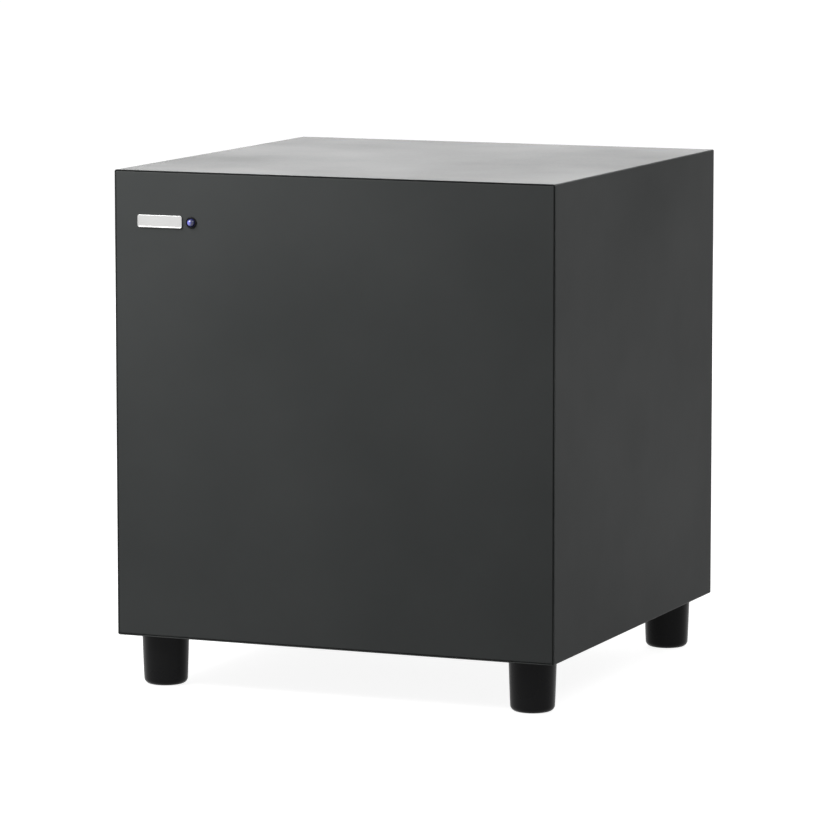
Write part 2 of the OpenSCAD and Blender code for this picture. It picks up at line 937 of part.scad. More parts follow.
module amp_plate()
    color(plate_black)
        in_cabinet()
            difference() {
                slab(plate_in, plate_out)
                    plate_outline(amp_w, amp_h);
                at_amp_screws()
                    bar(0, -past, 10, 0, amp_screw_r + 0.3);
                for (side = [-1, 1]) {
                    bar(amp_x + side * control_dx, plate_in - past, plate_out + past, control_z,
                        bushing_r + 0.2);
                    block(amp_x + side * control_dx, switch_z,
                          slider_w + slide_travel + 2 * slide_clear, slider_h + 2 * slide_clear,
                          plate_in - past, plate_out + past);
                    bar(line_x + side * line_pitch / 2, plate_in - past, plate_out + past,
                        socket_z, line_r + 1.3);
                }
                bar(transformer_x, plate_in - past, plate_out + past, transformer_z,
                    bolt_r + 0.2);
                block(terminals_x, socket_z, terminal_body[0] + 0.6, terminal_body[1] + 0.6,
                      plate_in - past, plate_out + past);
                block(inlet_x, inlet_z, inlet_w + 0.6, inlet_h + 0.6,
                      plate_in - past, plate_out + past);
                block(rocker_x, inlet_z, switch_w + 0.6, switch_h + 0.6,
                      plate_in - past, plate_out + past);
            }

module amp_gasket()
    color([0.1, 0.1, 0.1])
        in_cabinet()
            difference() {
                slab(rear_y, plate_in)
                    plate_outline(amp_w - 1, amp_h - 1);
                block(amp_x, amp_mid_z, amp_w - 2 * amp_margin, amp_h - 2 * amp_margin,
                      rear_y - past, plate_in + past);
                at_amp_screws()
                    bar(0, -past, 10, 0, amp_screw_r + 0.3);
            }

module amp_screws()
    color([0.12, 0.12, 0.12])
        in_cabinet()
            at_amp_screws()
                translate([0, gasket_t + plate_t, 0])
                    rotate([-90, 0, 0])
                        pan_screw(amp_screw_r, amp_screw_l + gasket_t + plate_t - 1, 3.5, 2.2);

// Circuit board behind the controls, with the tall parts that stand on it
module main_board()
    color([0.1, 0.32, 0.16])
        in_cabinet() {
            back = circuit_back;
            block(amp_x, (circuit_low + circuit_top) / 2, circuit_w, circuit_top - circuit_low,
                  back, circuit_y);
            block(amp_x + 38, circuit_low + 30, 20, 16, back - 15, back);
            block(amp_x + 12, circuit_low + 16, 18, 10, back - 12, back);
            for (k = [0 : 3])
                block(amp_x + 8 + 12 * k, circuit_top - 16, 6, 10, back - 4, back);
            for (k = [0 : 4])
                bar(amp_x + 6 + 9 * k, back - 9, back, circuit_top - 34, 3);
        }

module heatsink()
    color([0.75, 0.76, 0.78])
        in_cabinet() {
            block(sink_x + sink_w / 2, sink_low + sink_h / 2, sink_w, sink_h,
                  plate_in - sink_base_t, plate_in);
            for (k = [0 : fin_n - 1])
                block(sink_x + fin_t / 2 + k * (sink_w - fin_t) / (fin_n - 1),
                      sink_low + fin_h / 2, fin_t, fin_h,
                      plate_in - sink_base_t - fin_depth, plate_in - sink_base_t);
        }

module power_transistors()
    color([0.07, 0.07, 0.07])
        in_cabinet() {
            face = plate_in - sink_base_t;
            low = sink_low + fin_h + 3;
            for (side = [-1, 1])
                translate([sink_x + sink_w / 2 + side * 9, 0, 0]) {
                    block(0, low + 8, 10, 16, face - 4.5, face);
                    for (leg = [-2.5, 0, 2.5]) {
                        block(leg, (low + 15.5 + circuit_low + 3) / 2, 0.8,
                              circuit_low + 3 - low - 15.5, face - 3, face - 2.2);
                        block(leg, circuit_low + 2.6, 0.8, 0.8, circuit_y, face - 2.2);
                    }
                }
        }

module filter_capacitors()
    color([0.08, 0.1, 0.2])
        in_cabinet()
            for (k = [0, 1])
                bar(amp_x - 38 + 26 * k, circuit_back - 32, circuit_back, control_z - 14, 11);

module transformer()
    color([0.75, 0.6, 0.2])
        in_cabinet()
            turned_y(transformer_x, transformer_z)
                translate([(transformer_d / 2 + transformer_hole_r) / 2,
                           plate_in - transformer_h / 2])
                    round_rect(transformer_d / 2 - transformer_hole_r, transformer_h, 6);

// The bolt through the plate and the ring core, with its dished washer and nut
module transformer_bolt()
    color(zinc)
        in_cabinet() {
            core_end = plate_in - transformer_h;
            washer_r = transformer_d / 2 - 10;
            bar(transformer_x, core_end - 7, plate_out, transformer_z, bolt_r);
            turned_y(transformer_x, transformer_z)
                difference() {
                    translate([0, plate_out])
                        square([5.5, 3]);
                    translate([5.5, plate_out + 3])
                        rotate(45)
                            square(1.4, center = true);
                }
            turned_y(transformer_x, transformer_z)
                translate([bolt_r + 0.2, core_end - 2])
                    square([washer_r - bolt_r - 0.2, 2]);
            turned_y(transformer_x, transformer_z)
                translate([bolt_r, core_end - 6])
                    square([2.5, 4]);
        }

// A turning control: its body behind the plate, a threaded bushing and nut, and its pins
module turning_control(x)
    in_cabinet() {
        difference() {
            union() {
                bar(x, plate_in - 9, plate_in, control_z, 8);
                bar(x, plate_in - 1, plate_out + bushing_out, control_z, bushing_r);
                bar(x, plate_out, plate_out + nut_t, control_z, nut_r);
            }
            bar(x, plate_in - 8, plate_out + bushing_out + past, control_z,
                spindle_r + turn_clear);
        }
        block(x, control_z - 9, 10, 3, circuit_y, plate_in - 1);
    }

module volume_control()
    color([0.5, 0.5, 0.5])
        turning_control(amp_x - control_dx);

module crossover_control()
    color([0.5, 0.5, 0.5])
        turning_control(amp_x + control_dx);

knob_grooves = 18;
knob_skirt = 3;

// Outline of the knob's grip: a circle with finger grooves
module grip_outline()
    difference() {
        circle(knob_d / 2 - 0.6);
        for (k = [1 : knob_grooves - 1])
            rotate(90 + k * 360 / knob_grooves)
                translate([knob_d / 2 - 0.3, 0])
                    circle(0.8);
    }

// A knob with its own spindle; a pointer groove stands straight up at rest
module knob(x)
    in_cabinet()
        difference() {
            union() {
                difference() {
                    union() {
                        bar(x, knob_y, knob_y + knob_skirt, control_z, knob_d / 2);
                        slab(knob_y + knob_skirt, knob_y + knob_h)
                            translate([x, control_z])
                                grip_outline();
                    }
                    bar(x, knob_y - past, plate_out + bushing_out + 0.6, control_z, nut_r + 0.6);
                }
                bar(x, plate_in - 7.5, knob_y + knob_h / 2, control_z, spindle_r);
            }
            block(x, control_z + knob_d / 4 + 1, 1, knob_d / 2 + 2,
                  knob_y + knob_h - 0.6, knob_y + knob_h + past);
        }

module volume_knob()
    color(black_plastic)
        knob(amp_x - control_dx);

module crossover_knob()
    color(black_plastic)
        knob(amp_x + control_dx);

// Slide switch: a housing behind the plate with a channel for its slider
slide_base = [9, 7];
slide_base_t = 2.4;
housing_depth = 10;

module slide_switch(x)
    in_cabinet() {
        difference() {
            block(x, switch_z, 22, 11, plate_in - housing_depth, plate_in);
            block(x, switch_z, slide_base[0] + slide_travel + 2 * slide_clear,
                  slide_base[1] + 2 * slide_clear,
                  plate_in - slide_base_t - 2 * slide_clear, plate_in + past);
        }
        for (pin = [-4, 0, 4])
            block(x + pin, switch_z, 1, 1, circuit_y, plate_in - housing_depth);
    }

module slider(x)
    in_cabinet() {
        block(x - slide_travel / 2, switch_z, slide_base[0], slide_base[1],
              plate_in - slide_base_t - slide_clear, plate_in - slide_clear);
        difference() {
            block(x - slide_travel / 2, switch_z, slider_w, slider_h,
                  plate_in - slide_clear, plate_out + slider_out);
            for (rib = [-1, 0, 1])
                block(x - slide_travel / 2 + rib * 1.2, switch_z, 0.5, slider_h + past,
                      plate_out + slider_out - 0.6, plate_out + slider_out + past);
        }
    }

module phase_switch()
    color([0.3, 0.3, 0.3])
        slide_switch(amp_x - control_dx);

module phase_slider()
    color(black_plastic)
        slider(amp_x - control_dx);

module mode_switch()
    color([0.3, 0.3, 0.3])
        slide_switch(amp_x + control_dx);

module mode_slider()
    color(black_plastic)
        slider(amp_x + control_dx);

// Mains switch: a snapped-in housing that the rocker tilts in
switch_w = 13;
switch_h = 19.4;
switch_depth = 16;
rocker_clear = 0.3;
rocker_pin_r = 1.2;

module mains_switch()
    color(black_plastic)
        in_cabinet() {
            difference() {
                union() {
                    slab(plate_out, plate_out + flange_out)
                        translate([rocker_x, inlet_z])
                            round_rect(switch_w + 3, switch_h + 3, 1);
                    block(rocker_x, inlet_z, switch_w, switch_h, plate_out - switch_depth, plate_out);
                }
                block(rocker_x, inlet_z, rocker_w + 2 * rocker_clear, 2 * (rocker_r + rocker_clear),
                      plate_out - switch_depth + 3, plate_out + flange_out + past);
                translate([rocker_x - rocker_w / 2 - 1.3, rocker_y, inlet_z])
                    rotate([0, 90, 0])
                        cylinder(r = rocker_pin_r + turn_clear, h = rocker_w + 2.6);
            }
            for (side = [-1, 1])
                block(rocker_x, inlet_z + side * switch_tab_dz, 4.8, 0.8,
                      switch_tab_y, plate_out - switch_depth);
        }

// Two faces at an angle: the lower one is flush and the upper one stands out
module mains_rocker()
    color(black_plastic)
        in_cabinet()
            translate([rocker_x, rocker_y, inlet_z]) {
                rotate([90, 0, 90])
                    translate([0, 0, -rocker_w / 2])
                        linear_extrude(rocker_w)
                            intersection() {
                                circle(rocker_r);
                                rotate(-rocker_turn / 2)
                                    polygon([
                                        [-6, -3], [-6, 3], [0.5, 12],
                                        [0.5 + 12 * tan(rocker_turn / 2) + 2.4, 12],
                                        [2.4, 0],
                                        [0.5 + 12 * tan(rocker_turn / 2) + 2.4, -12],
                                        [0.5, -12]
                                    ]);
                            }
                rotate([0, 90, 0])
                    cylinder(r = rocker_pin_r, h = rocker_w + 2, center = true);
            }

// Two line sockets on one moulded block; each barrel takes a plug over it and a pin in it
module line_sockets()
    color([0.75, 0.72, 0.6])
        in_cabinet()
            difference() {
                union() {
                    block(line_x, socket_z, 30, 13, circuit_y, plate_in);
                    for (side = [-1, 1])
                        translate([line_x + side * line_pitch / 2, 0, 0]) {
                            bar(0, plate_in - past, plate_out + 1, socket_z, line_r + 1.1);
                            bar(0, plate_in - past, plate_out + line_out, socket_z, line_r);
                        }
                }
                for (side = [-1, 1])
                    bar(line_x + side * line_pitch / 2, plate_in - 4, plate_out + line_out + past,
                        socket_z, 1.65);
            }

// ---- Speaker-level terminals ----

function lever_x(i) = terminals_x + (i - (lever_n - 1) / 2) * lever_pitch;

// A sector round the lever's hinge, between two angles measured outwards from straight down
module lever_sector(r, from, to)
    rotate([90, 0, 90])
        intersection() {
            cylinder(r = r, h = lever_w + 4, center = true);
            linear_extrude(lever_w + 4, center = true)
                polygon([
                    [0, 0], 40 * [sin(from), -cos(from)],
                    40 * [sin((from + to) / 2), -cos((from + to) / 2)],
                    40 * [sin(to), -cos(to)]
                ]);
        }

// Keeps the middle part of a lever shape, this wide
module lever_slice(w)
    intersection() {
        cube([w, 60, 60], center = true);
        children();
    }

module speaker_terminals()
    color(black_plastic)
        in_cabinet()
            difference() {
                union() {
                    slab(plate_out, plate_out + flange_out)
                        translate([terminals_x, socket_z])
                            round_rect(terminal_flange[0], terminal_flange[1], 1.5);
                    block(terminals_x, socket_z, terminal_body[0], terminal_body[1],
                          circuit_y, plate_out);
                }
                for (i = [0 : lever_n - 1])
                    translate([lever_x(i), lever_y, lever_z]) {
                        lever_slice(lever_w + 0.5) {
                            lever_sector(lever_r + 0.4, lever_rest - lever_turn - 2, 95);
                            rotate([0, 90, 0])
                                cylinder(r = 2.6, h = lever_w + 2, center = true);
                            translate([-lever_w, 0, -lever_r])
                                cube([2 * lever_w, 10, lever_r]);
                        }
                        rotate([0, 90, 0])
                            cylinder(r = lever_pin_r + turn_clear, h = lever_w + 2, center = true);
                        bar(0, -12, 10, -lever_r - 3.4, 1.6);
                    }
            }

module speaker_lever(i)
    in_cabinet()
        translate([lever_x(i), lever_y, lever_z]) {
            lever_slice(lever_w) {
                lever_sector(lever_r, lever_rest, lever_rest + lever_wedge);
                rotate([0, 90, 0])
                    cylinder(r = 2.2, h = lever_w, center = true);
            }
            rotate([0, 90, 0])
                cylinder(r = lever_pin_r, h = lever_w + 1.6, center = true);
        }

// ---- Mains inlet ----

inlet_w = 27;
inlet_h = 20;
inlet_depth = 15;
inlet_body_depth = 22;

// The inlet's opening: a rectangle with two cut corners
module inlet_outline(w, h, cut)
    polygon([
        [-w / 2, -h / 2], [w / 2, -h / 2], [w / 2, h / 2 - cut], [w / 2 - cut, h / 2],
        [-w / 2 + cut, h / 2], [-w / 2, h / 2 - cut]
    ]);

module mains_inlet()
    color(black_plastic)
        in_cabinet() {
            face = plate_out + flange_out;
            difference() {
                union() {
                    slab(plate_out, face)
                        translate([inlet_x, inlet_z])
                            round_rect(inlet_w + 6, inlet_h + 6, 2);
                    block(inlet_x, inlet_z, inlet_w, inlet_h, face - inlet_body_depth, plate_out);
                }
                slab(face - inlet_depth, face + past)
                    translate([inlet_x, inlet_z])
                        inlet_outline(inlet_w - 3.4, inlet_h - 4, 4.5);
            }
            for (pin = [[-7, -1.5], [0, 2], [7, -1.5]]) {
                block(inlet_x + pin[0], inlet_z + pin[1], 2, 4, face - inlet_depth, face - 3);
                block(inlet_x + pin[0], inlet_z + pin[1], 0.8, 4.8,
                      inlet_tab_y, face - inlet_body_depth);
            }
        }

// ---- Leads that stay inside ----

module speaker_leads()
    color([0.6, 0.1, 0.1])
        in_cabinet()
            for (side = [-1, 1])
                tube(speaker_route(side), lead_d, [1, 0, 0]);

module lamp_lead()
    color([0.1, 0.1, 0.1])
        in_cabinet()
            tube(lamp_route, lead_d, [1, 0, 0]);

module power_leads()
    color([0.15, 0.3, 0.6])
        in_cabinet() {
            tube(live_route, lead_d, [1, 0, 0]);
            tube(switch_route, lead_d, [0, 0, 1]);
            tube(neutral_route, lead_d, [1, 0, 0]);
            tube(winding_route, lead_d, [1, 0, 0]);
        }

top_panel();
left_panel();
right_panel();
bottom_panel();
front_panel();
rear_panel();
wadding();
badge_plate();
lamp_bezel();
status_lamp();
foot(-1, -1);  // front_left_foot
foot(1, -1);  // front_right_foot
foot(-1, 1);  // rear_left_foot
foot(1, 1);  // rear_right_foot
foot_screws();
basket();
trim_ring();
surround();
cone();
dust_cap();
coil_former();
voice_coil();
spider();
front_plate();
magnet();
yoke();
terminal_strip();
tinsel_leads();
driver_screws();
port_flare();
port_tube();
amp_plate();
amp_gasket();
amp_screws();
main_board();
heatsink();
power_transistors();
filter_capacitors();
transformer();
transformer_bolt();
volume_control();
crossover_control();
volume_knob();
crossover_knob();
phase_switch();
phase_slider();
mode_switch();
mode_slider();
mains_switch();
mains_rocker();
line_sockets();
speaker_terminals();
color([0.6, 0.05, 0.05]) speaker_lever(0);  // speaker_lever_1
color(black_plastic) speaker_lever(1);  // speaker_lever_2
color([0.6, 0.05, 0.05]) speaker_lever(2);  // speaker_lever_3
color(black_plastic) speaker_lever(3);  // speaker_lever_4
mains_inlet();
speaker_leads();
lamp_lead();
power_leads();
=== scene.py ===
import json
import math

import bpy
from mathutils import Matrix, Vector
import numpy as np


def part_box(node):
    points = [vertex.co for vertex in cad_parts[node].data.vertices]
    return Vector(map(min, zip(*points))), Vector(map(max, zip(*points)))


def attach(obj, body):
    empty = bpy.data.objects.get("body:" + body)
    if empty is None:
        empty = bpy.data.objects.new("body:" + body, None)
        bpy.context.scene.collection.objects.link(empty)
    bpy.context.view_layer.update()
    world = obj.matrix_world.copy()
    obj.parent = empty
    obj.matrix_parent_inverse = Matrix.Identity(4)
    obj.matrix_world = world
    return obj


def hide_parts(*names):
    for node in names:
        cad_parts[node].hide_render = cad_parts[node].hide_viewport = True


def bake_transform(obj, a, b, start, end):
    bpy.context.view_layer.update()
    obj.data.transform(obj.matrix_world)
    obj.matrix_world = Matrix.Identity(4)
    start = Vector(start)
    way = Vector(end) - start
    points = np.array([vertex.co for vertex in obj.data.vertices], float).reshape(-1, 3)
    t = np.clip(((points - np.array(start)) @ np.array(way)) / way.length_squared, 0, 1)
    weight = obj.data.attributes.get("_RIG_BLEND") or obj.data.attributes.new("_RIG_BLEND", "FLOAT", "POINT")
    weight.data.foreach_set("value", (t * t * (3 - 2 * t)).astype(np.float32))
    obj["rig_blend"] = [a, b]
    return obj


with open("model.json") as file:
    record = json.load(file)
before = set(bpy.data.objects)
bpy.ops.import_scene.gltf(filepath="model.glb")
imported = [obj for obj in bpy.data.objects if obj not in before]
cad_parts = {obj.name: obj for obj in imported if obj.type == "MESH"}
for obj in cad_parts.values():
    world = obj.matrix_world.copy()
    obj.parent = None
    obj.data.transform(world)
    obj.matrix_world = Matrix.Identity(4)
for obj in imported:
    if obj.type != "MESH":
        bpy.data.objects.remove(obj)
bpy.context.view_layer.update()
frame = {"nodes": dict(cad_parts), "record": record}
nodes = frame["nodes"]
slot_of = {part["node"]: part["material_slot"] for part in frame["record"]["subparts"]}

MM = 0.001

for solid in nodes.values():
    solid.data.materials.clear()
for plain in list(bpy.data.materials):
    bpy.data.materials.remove(plain)


def middle(node):
    low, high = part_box(node)
    return (low + high) / 2


# Camera, lights and floor


def set_camera():
    lens = bpy.data.cameras.new("camera")
    lens.sensor_width = 36
    lens.lens = 218.07
    camera = bpy.data.objects.new("camera", lens)
    camera.location = (1.1702, -2.8672, 0.5599)
    camera.rotation_euler = (math.radians(82.469), 0, math.radians(22.271))
    bpy.context.scene.collection.objects.link(camera)
    bpy.context.scene.camera = camera
    bpy.context.scene.view_settings.view_transform = "Standard"


def soft_light(name, place, aim, width, height, watts):
    lamp = bpy.data.lights.new(name, "AREA")
    lamp.shape = "RECTANGLE"
    lamp.size = width
    lamp.size_y = height
    lamp.energy = watts
    held = bpy.data.objects.new(name, lamp)
    held.location = place
    held.rotation_euler = (Vector(aim) - Vector(place)).to_track_quat("-Z", "Y").to_euler()
    bpy.context.scene.collection.objects.link(held)


def seen_directly(tree):
    """Light Path rays that show the background: from the camera, and through gloss and glass."""
    rays = tree.nodes.new("ShaderNodeLightPath")
    first = tree.nodes.new("ShaderNodeMath")
    first.operation = "MAXIMUM"
    tree.links.new(rays.outputs["Is Camera Ray"], first.inputs[0])
    tree.links.new(rays.outputs["Is Glossy Ray"], first.inputs[1])
    second = tree.nodes.new("ShaderNodeMath")
    second.operation = "MAXIMUM"
    tree.links.new(first.outputs[0], second.inputs[0])
    tree.links.new(rays.outputs["Is Transmission Ray"], second.inputs[1])
    return second.outputs[0]


def set_world():
    world = bpy.data.worlds.new("studio")
    bpy.context.scene.world = world
    world.use_nodes = True
    tree = world.node_tree
    background = tree.nodes["Background"]
    background.inputs["Strength"].default_value = 1
    mixed = tree.nodes.new("ShaderNodeMix")
    mixed.data_type = "RGBA"
    mixed.inputs["A"].default_value = (0.28, 0.28, 0.283, 1)
    mixed.inputs["B"].default_value = (1, 1, 1, 1)
    tree.links.new(seen_directly(tree), mixed.inputs["Factor"])
    tree.links.new(mixed.outputs["Result"], background.inputs["Color"])


def lay_floor():
    bpy.ops.object.select_all(action="DESELECT")
    bpy.ops.mesh.primitive_plane_add(size=30, location=(0, 0, -0.0004))
    floor = bpy.context.object
    floor.name = "studio_floor"
    paint = bpy.data.materials.new("floor_paper")
    paint.use_nodes = True
    tree = paint.node_tree
    shader = tree.nodes["Principled BSDF"]
    shader.inputs["Base Color"].default_value = (0.45, 0.45, 0.45, 1)
    shader.inputs["Roughness"].default_value = 0.9
    shader.inputs["Specular IOR Level"].default_value = 0.1
    shader.inputs["Emission Color"].default_value = (1, 1, 1, 1)
    lift = tree.nodes.new("ShaderNodeMath")
    lift.operation = "MULTIPLY"
    lift.inputs[1].default_value = 0.9
    tree.links.new(seen_directly(tree), lift.inputs[0])
    tree.links.new(lift.outputs[0], shader.inputs["Emission Strength"])
    floor.data.materials.append(paint)


# Shader helpers and the groups that several materials share


def node_in(tree, kind, settings=None, **values):
    made = tree.nodes.new(kind)
    for name, value in (settings or {}).items():
        setattr(made, name, value)
    for name, value in values.items():
        socket = made.inputs[name.replace("_", " ")]
        if isinstance(value, bpy.types.NodeSocket):
            tree.links.new(value, socket)
        else:
            socket.default_value = value
    return made


def number(tree, operation, first, second=0.0, clamp=False):
    made = tree.nodes.new("ShaderNodeMath")
    made.operation = operation
    made.use_clamp = clamp
    for place, value in enumerate((first, second)):
        if isinstance(value, bpy.types.NodeSocket):
            tree.links.new(value, made.inputs[place])
        else:
            made.inputs[place].default_value = value
    return made.outputs[0]


def blend_colour(tree, factor, first, second):
    made = tree.nodes.new("ShaderNodeMix")
    made.data_type = "RGBA"
    for name, value in (("Factor", factor), ("A", first), ("B", second)):
        socket = made.inputs[name]
        if name != "Factor":
            socket = [s for s in made.inputs if s.name == name and s.type == "RGBA"][0]
        if isinstance(value, bpy.types.NodeSocket):
            tree.links.new(value, socket)
        elif name == "Factor":
            socket.default_value = value
        else:
            socket.default_value = (*value, 1)
    return [s for s in made.outputs if s.type == "RGBA"][0]


def stretch(tree, value, low, high, to_low=0.0, to_high=1.0):
    made = tree.nodes.new("ShaderNodeMapRange")
    made.clamp = True
    tree.links.new(value, made.inputs["Value"])
    made.inputs["From Min"].default_value = low
    made.inputs["From Max"].default_value = high
    made.inputs["To Min"].default_value = to_low
    made.inputs["To Max"].default_value = to_high
    return made.outputs["Result"]


def start_group(name, wanted, given):
    group = bpy.data.node_groups.new(name, "ShaderNodeTree")
    for socket, kind, value in wanted:
        made = group.interface.new_socket(name=socket, in_out="INPUT", socket_type=kind)
        if value is not None:
            made.default_value = value
    for socket, kind in given:
        group.interface.new_socket(name=socket, in_out="OUTPUT", socket_type=kind)
    entry = group.nodes.new("NodeGroupInput")
    leave = group.nodes.new("NodeGroupOutput")
    return group, entry.outputs, leave.inputs


FLOAT = "NodeSocketFloat"
VECTOR = "NodeSocketVector"
COLOUR = "NodeSocketColor"


def grain_group():
    """Fine pebbled grain, and slow changes of shade over the whole surface."""
    group, taken, given = start_group(
        "grain", [("Vector", VECTOR, None), ("Scale", FLOAT, 900.0), ("Mottle", FLOAT, 14.0)],
        [("Height", FLOAT), ("Mottling", FLOAT), ("Specks", FLOAT)])
    pebbles = node_in(group, "ShaderNodeTexVoronoi", {"feature": "SMOOTH_F1"},
                      Vector=taken["Vector"], Scale=taken["Scale"], Smoothness=0.6)
    fibres = node_in(group, "ShaderNodeTexNoise", Vector=taken["Vector"],
                     Scale=number(group, "MULTIPLY", taken["Scale"], 0.55),
                     Detail=4.0, Roughness=0.6)
    height = number(group, "ADD", number(group, "MULTIPLY", pebbles.outputs["Distance"], 0.6),
                    number(group, "MULTIPLY", fibres.outputs["Fac"], 0.4))
    group.links.new(height, given["Height"])
    clouds = node_in(group, "ShaderNodeTexNoise", Vector=taken["Vector"], Scale=taken["Mottle"],
                     Detail=5.0, Roughness=0.55)
    group.links.new(stretch(group, clouds.outputs["Fac"], 0.32, 0.68), given["Mottling"])
    group.links.new(stretch(group, fibres.outputs["Fac"], 0.62, 0.74), given["Specks"])
    return group


def edge_group():
    """Where an edge is rubbed, and the normal of a slightly rounded edge."""
    group, taken, given = start_group(
        "edge_wear", [("Vector", VECTOR, None), ("Radius", FLOAT, 0.0006), ("Amount", FLOAT, 0.5)],
        [("Mask", FLOAT), ("Normal", VECTOR)])
    rounded = node_in(group, "ShaderNodeBevel", {"samples": 6}, Radius=taken["Radius"])
    shape = group.nodes.new("ShaderNodeNewGeometry")
    facing = node_in(group, "ShaderNodeVectorMath", {"operation": "DOT_PRODUCT"})
    group.links.new(rounded.outputs["Normal"], facing.inputs[0])
    group.links.new(shape.outputs["Normal"], facing.inputs[1])
    turned = number(group, "SUBTRACT", 1.0, facing.outputs["Value"])
    patches = node_in(group, "ShaderNodeTexNoise", Vector=taken["Vector"], Scale=160.0, Detail=4.0)
    rubbed = number(group, "MULTIPLY", stretch(group, turned, 0.01, 0.14),
                    stretch(group, patches.outputs["Fac"], 0.4, 0.62))
    group.links.new(number(group, "MULTIPLY", rubbed, taken["Amount"], clamp=True), given["Mask"])
    group.links.new(rounded.outputs["Normal"], given["Normal"])
    return group


def dust_group():
    """A little dust on faces that look up."""
    group, taken, given = start_group(
        "dust", [("Vector", VECTOR, None), ("Color", COLOUR, (0.5, 0.5, 0.5, 1)),
                 ("Amount", FLOAT, 0.1)],
        [("Color", COLOUR), ("Mask", FLOAT)])
    shape = group.nodes.new("ShaderNodeNewGeometry")
    parts = node_in(group, "ShaderNodeSeparateXYZ")
    group.links.new(shape.outputs["Normal"], parts.inputs[0])
    upward = stretch(group, parts.outputs["Z"], 0.2, 1.0)
    motes = node_in(group, "ShaderNodeTexNoise", Vector=taken["Vector"], Scale=420.0, Detail=6.0,
                    Roughness=0.7)
    mask = number(group, "MULTIPLY", number(group, "MULTIPLY", upward, taken["Amount"]),
                  stretch(group, motes.outputs["Fac"], 0.35, 0.75), clamp=True)
    group.links.new(mask, given["Mask"])
    group.links.new(blend_colour(group, mask, taken["Color"], (0.6, 0.58, 0.54)), given["Color"])
    return group


def brushed_group():
    """Fine lines along one direction, as rolling or brushing leaves on metal."""
    group, taken, given = start_group(
        "brushed", [("Vector", VECTOR, None), ("Scale", FLOAT, 700.0)],
        [("Height", FLOAT), ("Shade", FLOAT)])
    drawn = node_in(group, "ShaderNodeMapping", Vector=taken["Vector"], Scale=(0.03, 1, 1))
    lines = node_in(group, "ShaderNodeTexNoise", Vector=drawn.outputs["Vector"],
                    Scale=taken["Scale"], Detail=5.0, Roughness=0.65)
    group.links.new(lines.outputs["Fac"], given["Height"])
    group.links.new(stretch(group, lines.outputs["Fac"], 0.35, 0.65), given["Shade"])
    return group


def weave_group():
    """Threads over and under each other in two directions."""
    group, taken, given = start_group(
        "weave", [("Vector", VECTOR, None), ("Pitch", FLOAT, 0.0008)],
        [("Height", FLOAT), ("Gap", FLOAT)])
    parts = node_in(group, "ShaderNodeSeparateXYZ")
    group.links.new(taken["Vector"], parts.inputs[0])
    turns = number(group, "DIVIDE", math.pi, taken["Pitch"])
    first, second = (
        number(group, "ABSOLUTE", number(group, "SINE", number(group, "MULTIPLY", along, turns)))
        for along in (parts.outputs["X"], parts.outputs["Y"]))
    height = number(group, "MAXIMUM", first, second)
    group.links.new(height, given["Height"])
    gap = number(group, "SUBTRACT", 1.0, height)
    group.links.new(stretch(group, gap, 0.1, 0.5), given["Gap"])
    return group


grain = grain_group()
edge_wear = edge_group()
dust = dust_group()
brushed = brushed_group()
weave = weave_group()


def use_group(tree, group, **values):
    made = tree.nodes.new("ShaderNodeGroup")
    made.node_tree = group
    for name, value in values.items():
        if isinstance(value, bpy.types.NodeSocket):
            tree.links.new(value, made.inputs[name])
        else:
            made.inputs[name].default_value = value
    return made.outputs


def start_material(name):
    paint = bpy.data.materials.new(name)
    paint.use_nodes = True
    tree = paint.node_tree
    place = tree.nodes.new("ShaderNodeTexCoord").outputs["Object"]
    return paint, tree, tree.nodes["Principled BSDF"], place


def finish_surface(name, base, other, rough, fine=900.0, relief=0.00002, mottle=14.0, worn=None,
                   wear=0.4, edge=0.0005, dusty=0.06, metal=0.0, gloss=0.5, coat=0.0,
                   vary=0.06, lines=False):
    """A surface with grain, changes of shade, rubbed edges and a little dust."""
    paint, tree, shader, place = start_material(name)
    texture = use_group(tree, grain, Vector=place, Scale=fine, Mottle=mottle)
    height = texture["Height"]
    shade = blend_colour(tree, texture["Mottling"], base, other)
    if lines:
        drawn = use_group(tree, brushed, Vector=place, Scale=fine)
        height = drawn["Height"]
        shade = blend_colour(tree, number(tree, "MULTIPLY", drawn["Shade"], 0.35), shade, other)
    rim = use_group(tree, edge_wear, Vector=place, Radius=edge, Amount=wear)
    shade = blend_colour(tree, rim["Mask"], shade, worn or other)
    dusted = use_group(tree, dust, Vector=place, Color=shade, Amount=dusty)
    tree.links.new(dusted["Color"], shader.inputs["Base Color"])
    uneven = stretch(tree, texture["Mottling"], 0.0, 1.0, rough - vary, rough + vary)
    rougher = number(tree, "ADD", uneven, number(tree, "MULTIPLY", dusted["Mask"], 0.3), clamp=True)
    tree.links.new(rougher, shader.inputs["Roughness"])
    bump = node_in(tree, "ShaderNodeBump", Strength=1.0, Distance=relief, Height=height,
                   Normal=rim["Normal"])
    tree.links.new(bump.outputs["Normal"], shader.inputs["Normal"])
    shader.inputs["Metallic"].default_value = metal
    shader.inputs["Specular IOR Level"].default_value = gloss
    shader.inputs["Coat Weight"].default_value = coat
    return paint


# Materials, one for each finish


def vinyl_wrap():
    return finish_surface("vinyl_wrap", (0.050, 0.0525, 0.052), (0.043, 0.0455, 0.045), 0.42,
                          fine=1500.0, relief=0.000012, mottle=9.0, worn=(0.12, 0.12, 0.118),
                          wear=0.25, edge=0.0007, dusty=0.05, gloss=0.025, vary=0.03)


def black_plastic():
    return finish_surface("black_plastic", (0.0045, 0.0045, 0.005), (0.007, 0.007, 0.0075), 0.3,
                          fine=2200.0, relief=0.000004, mottle=40.0, worn=(0.03, 0.03, 0.03),
                          wear=0.3, dusty=0.01, gloss=0.08, vary=0.05)


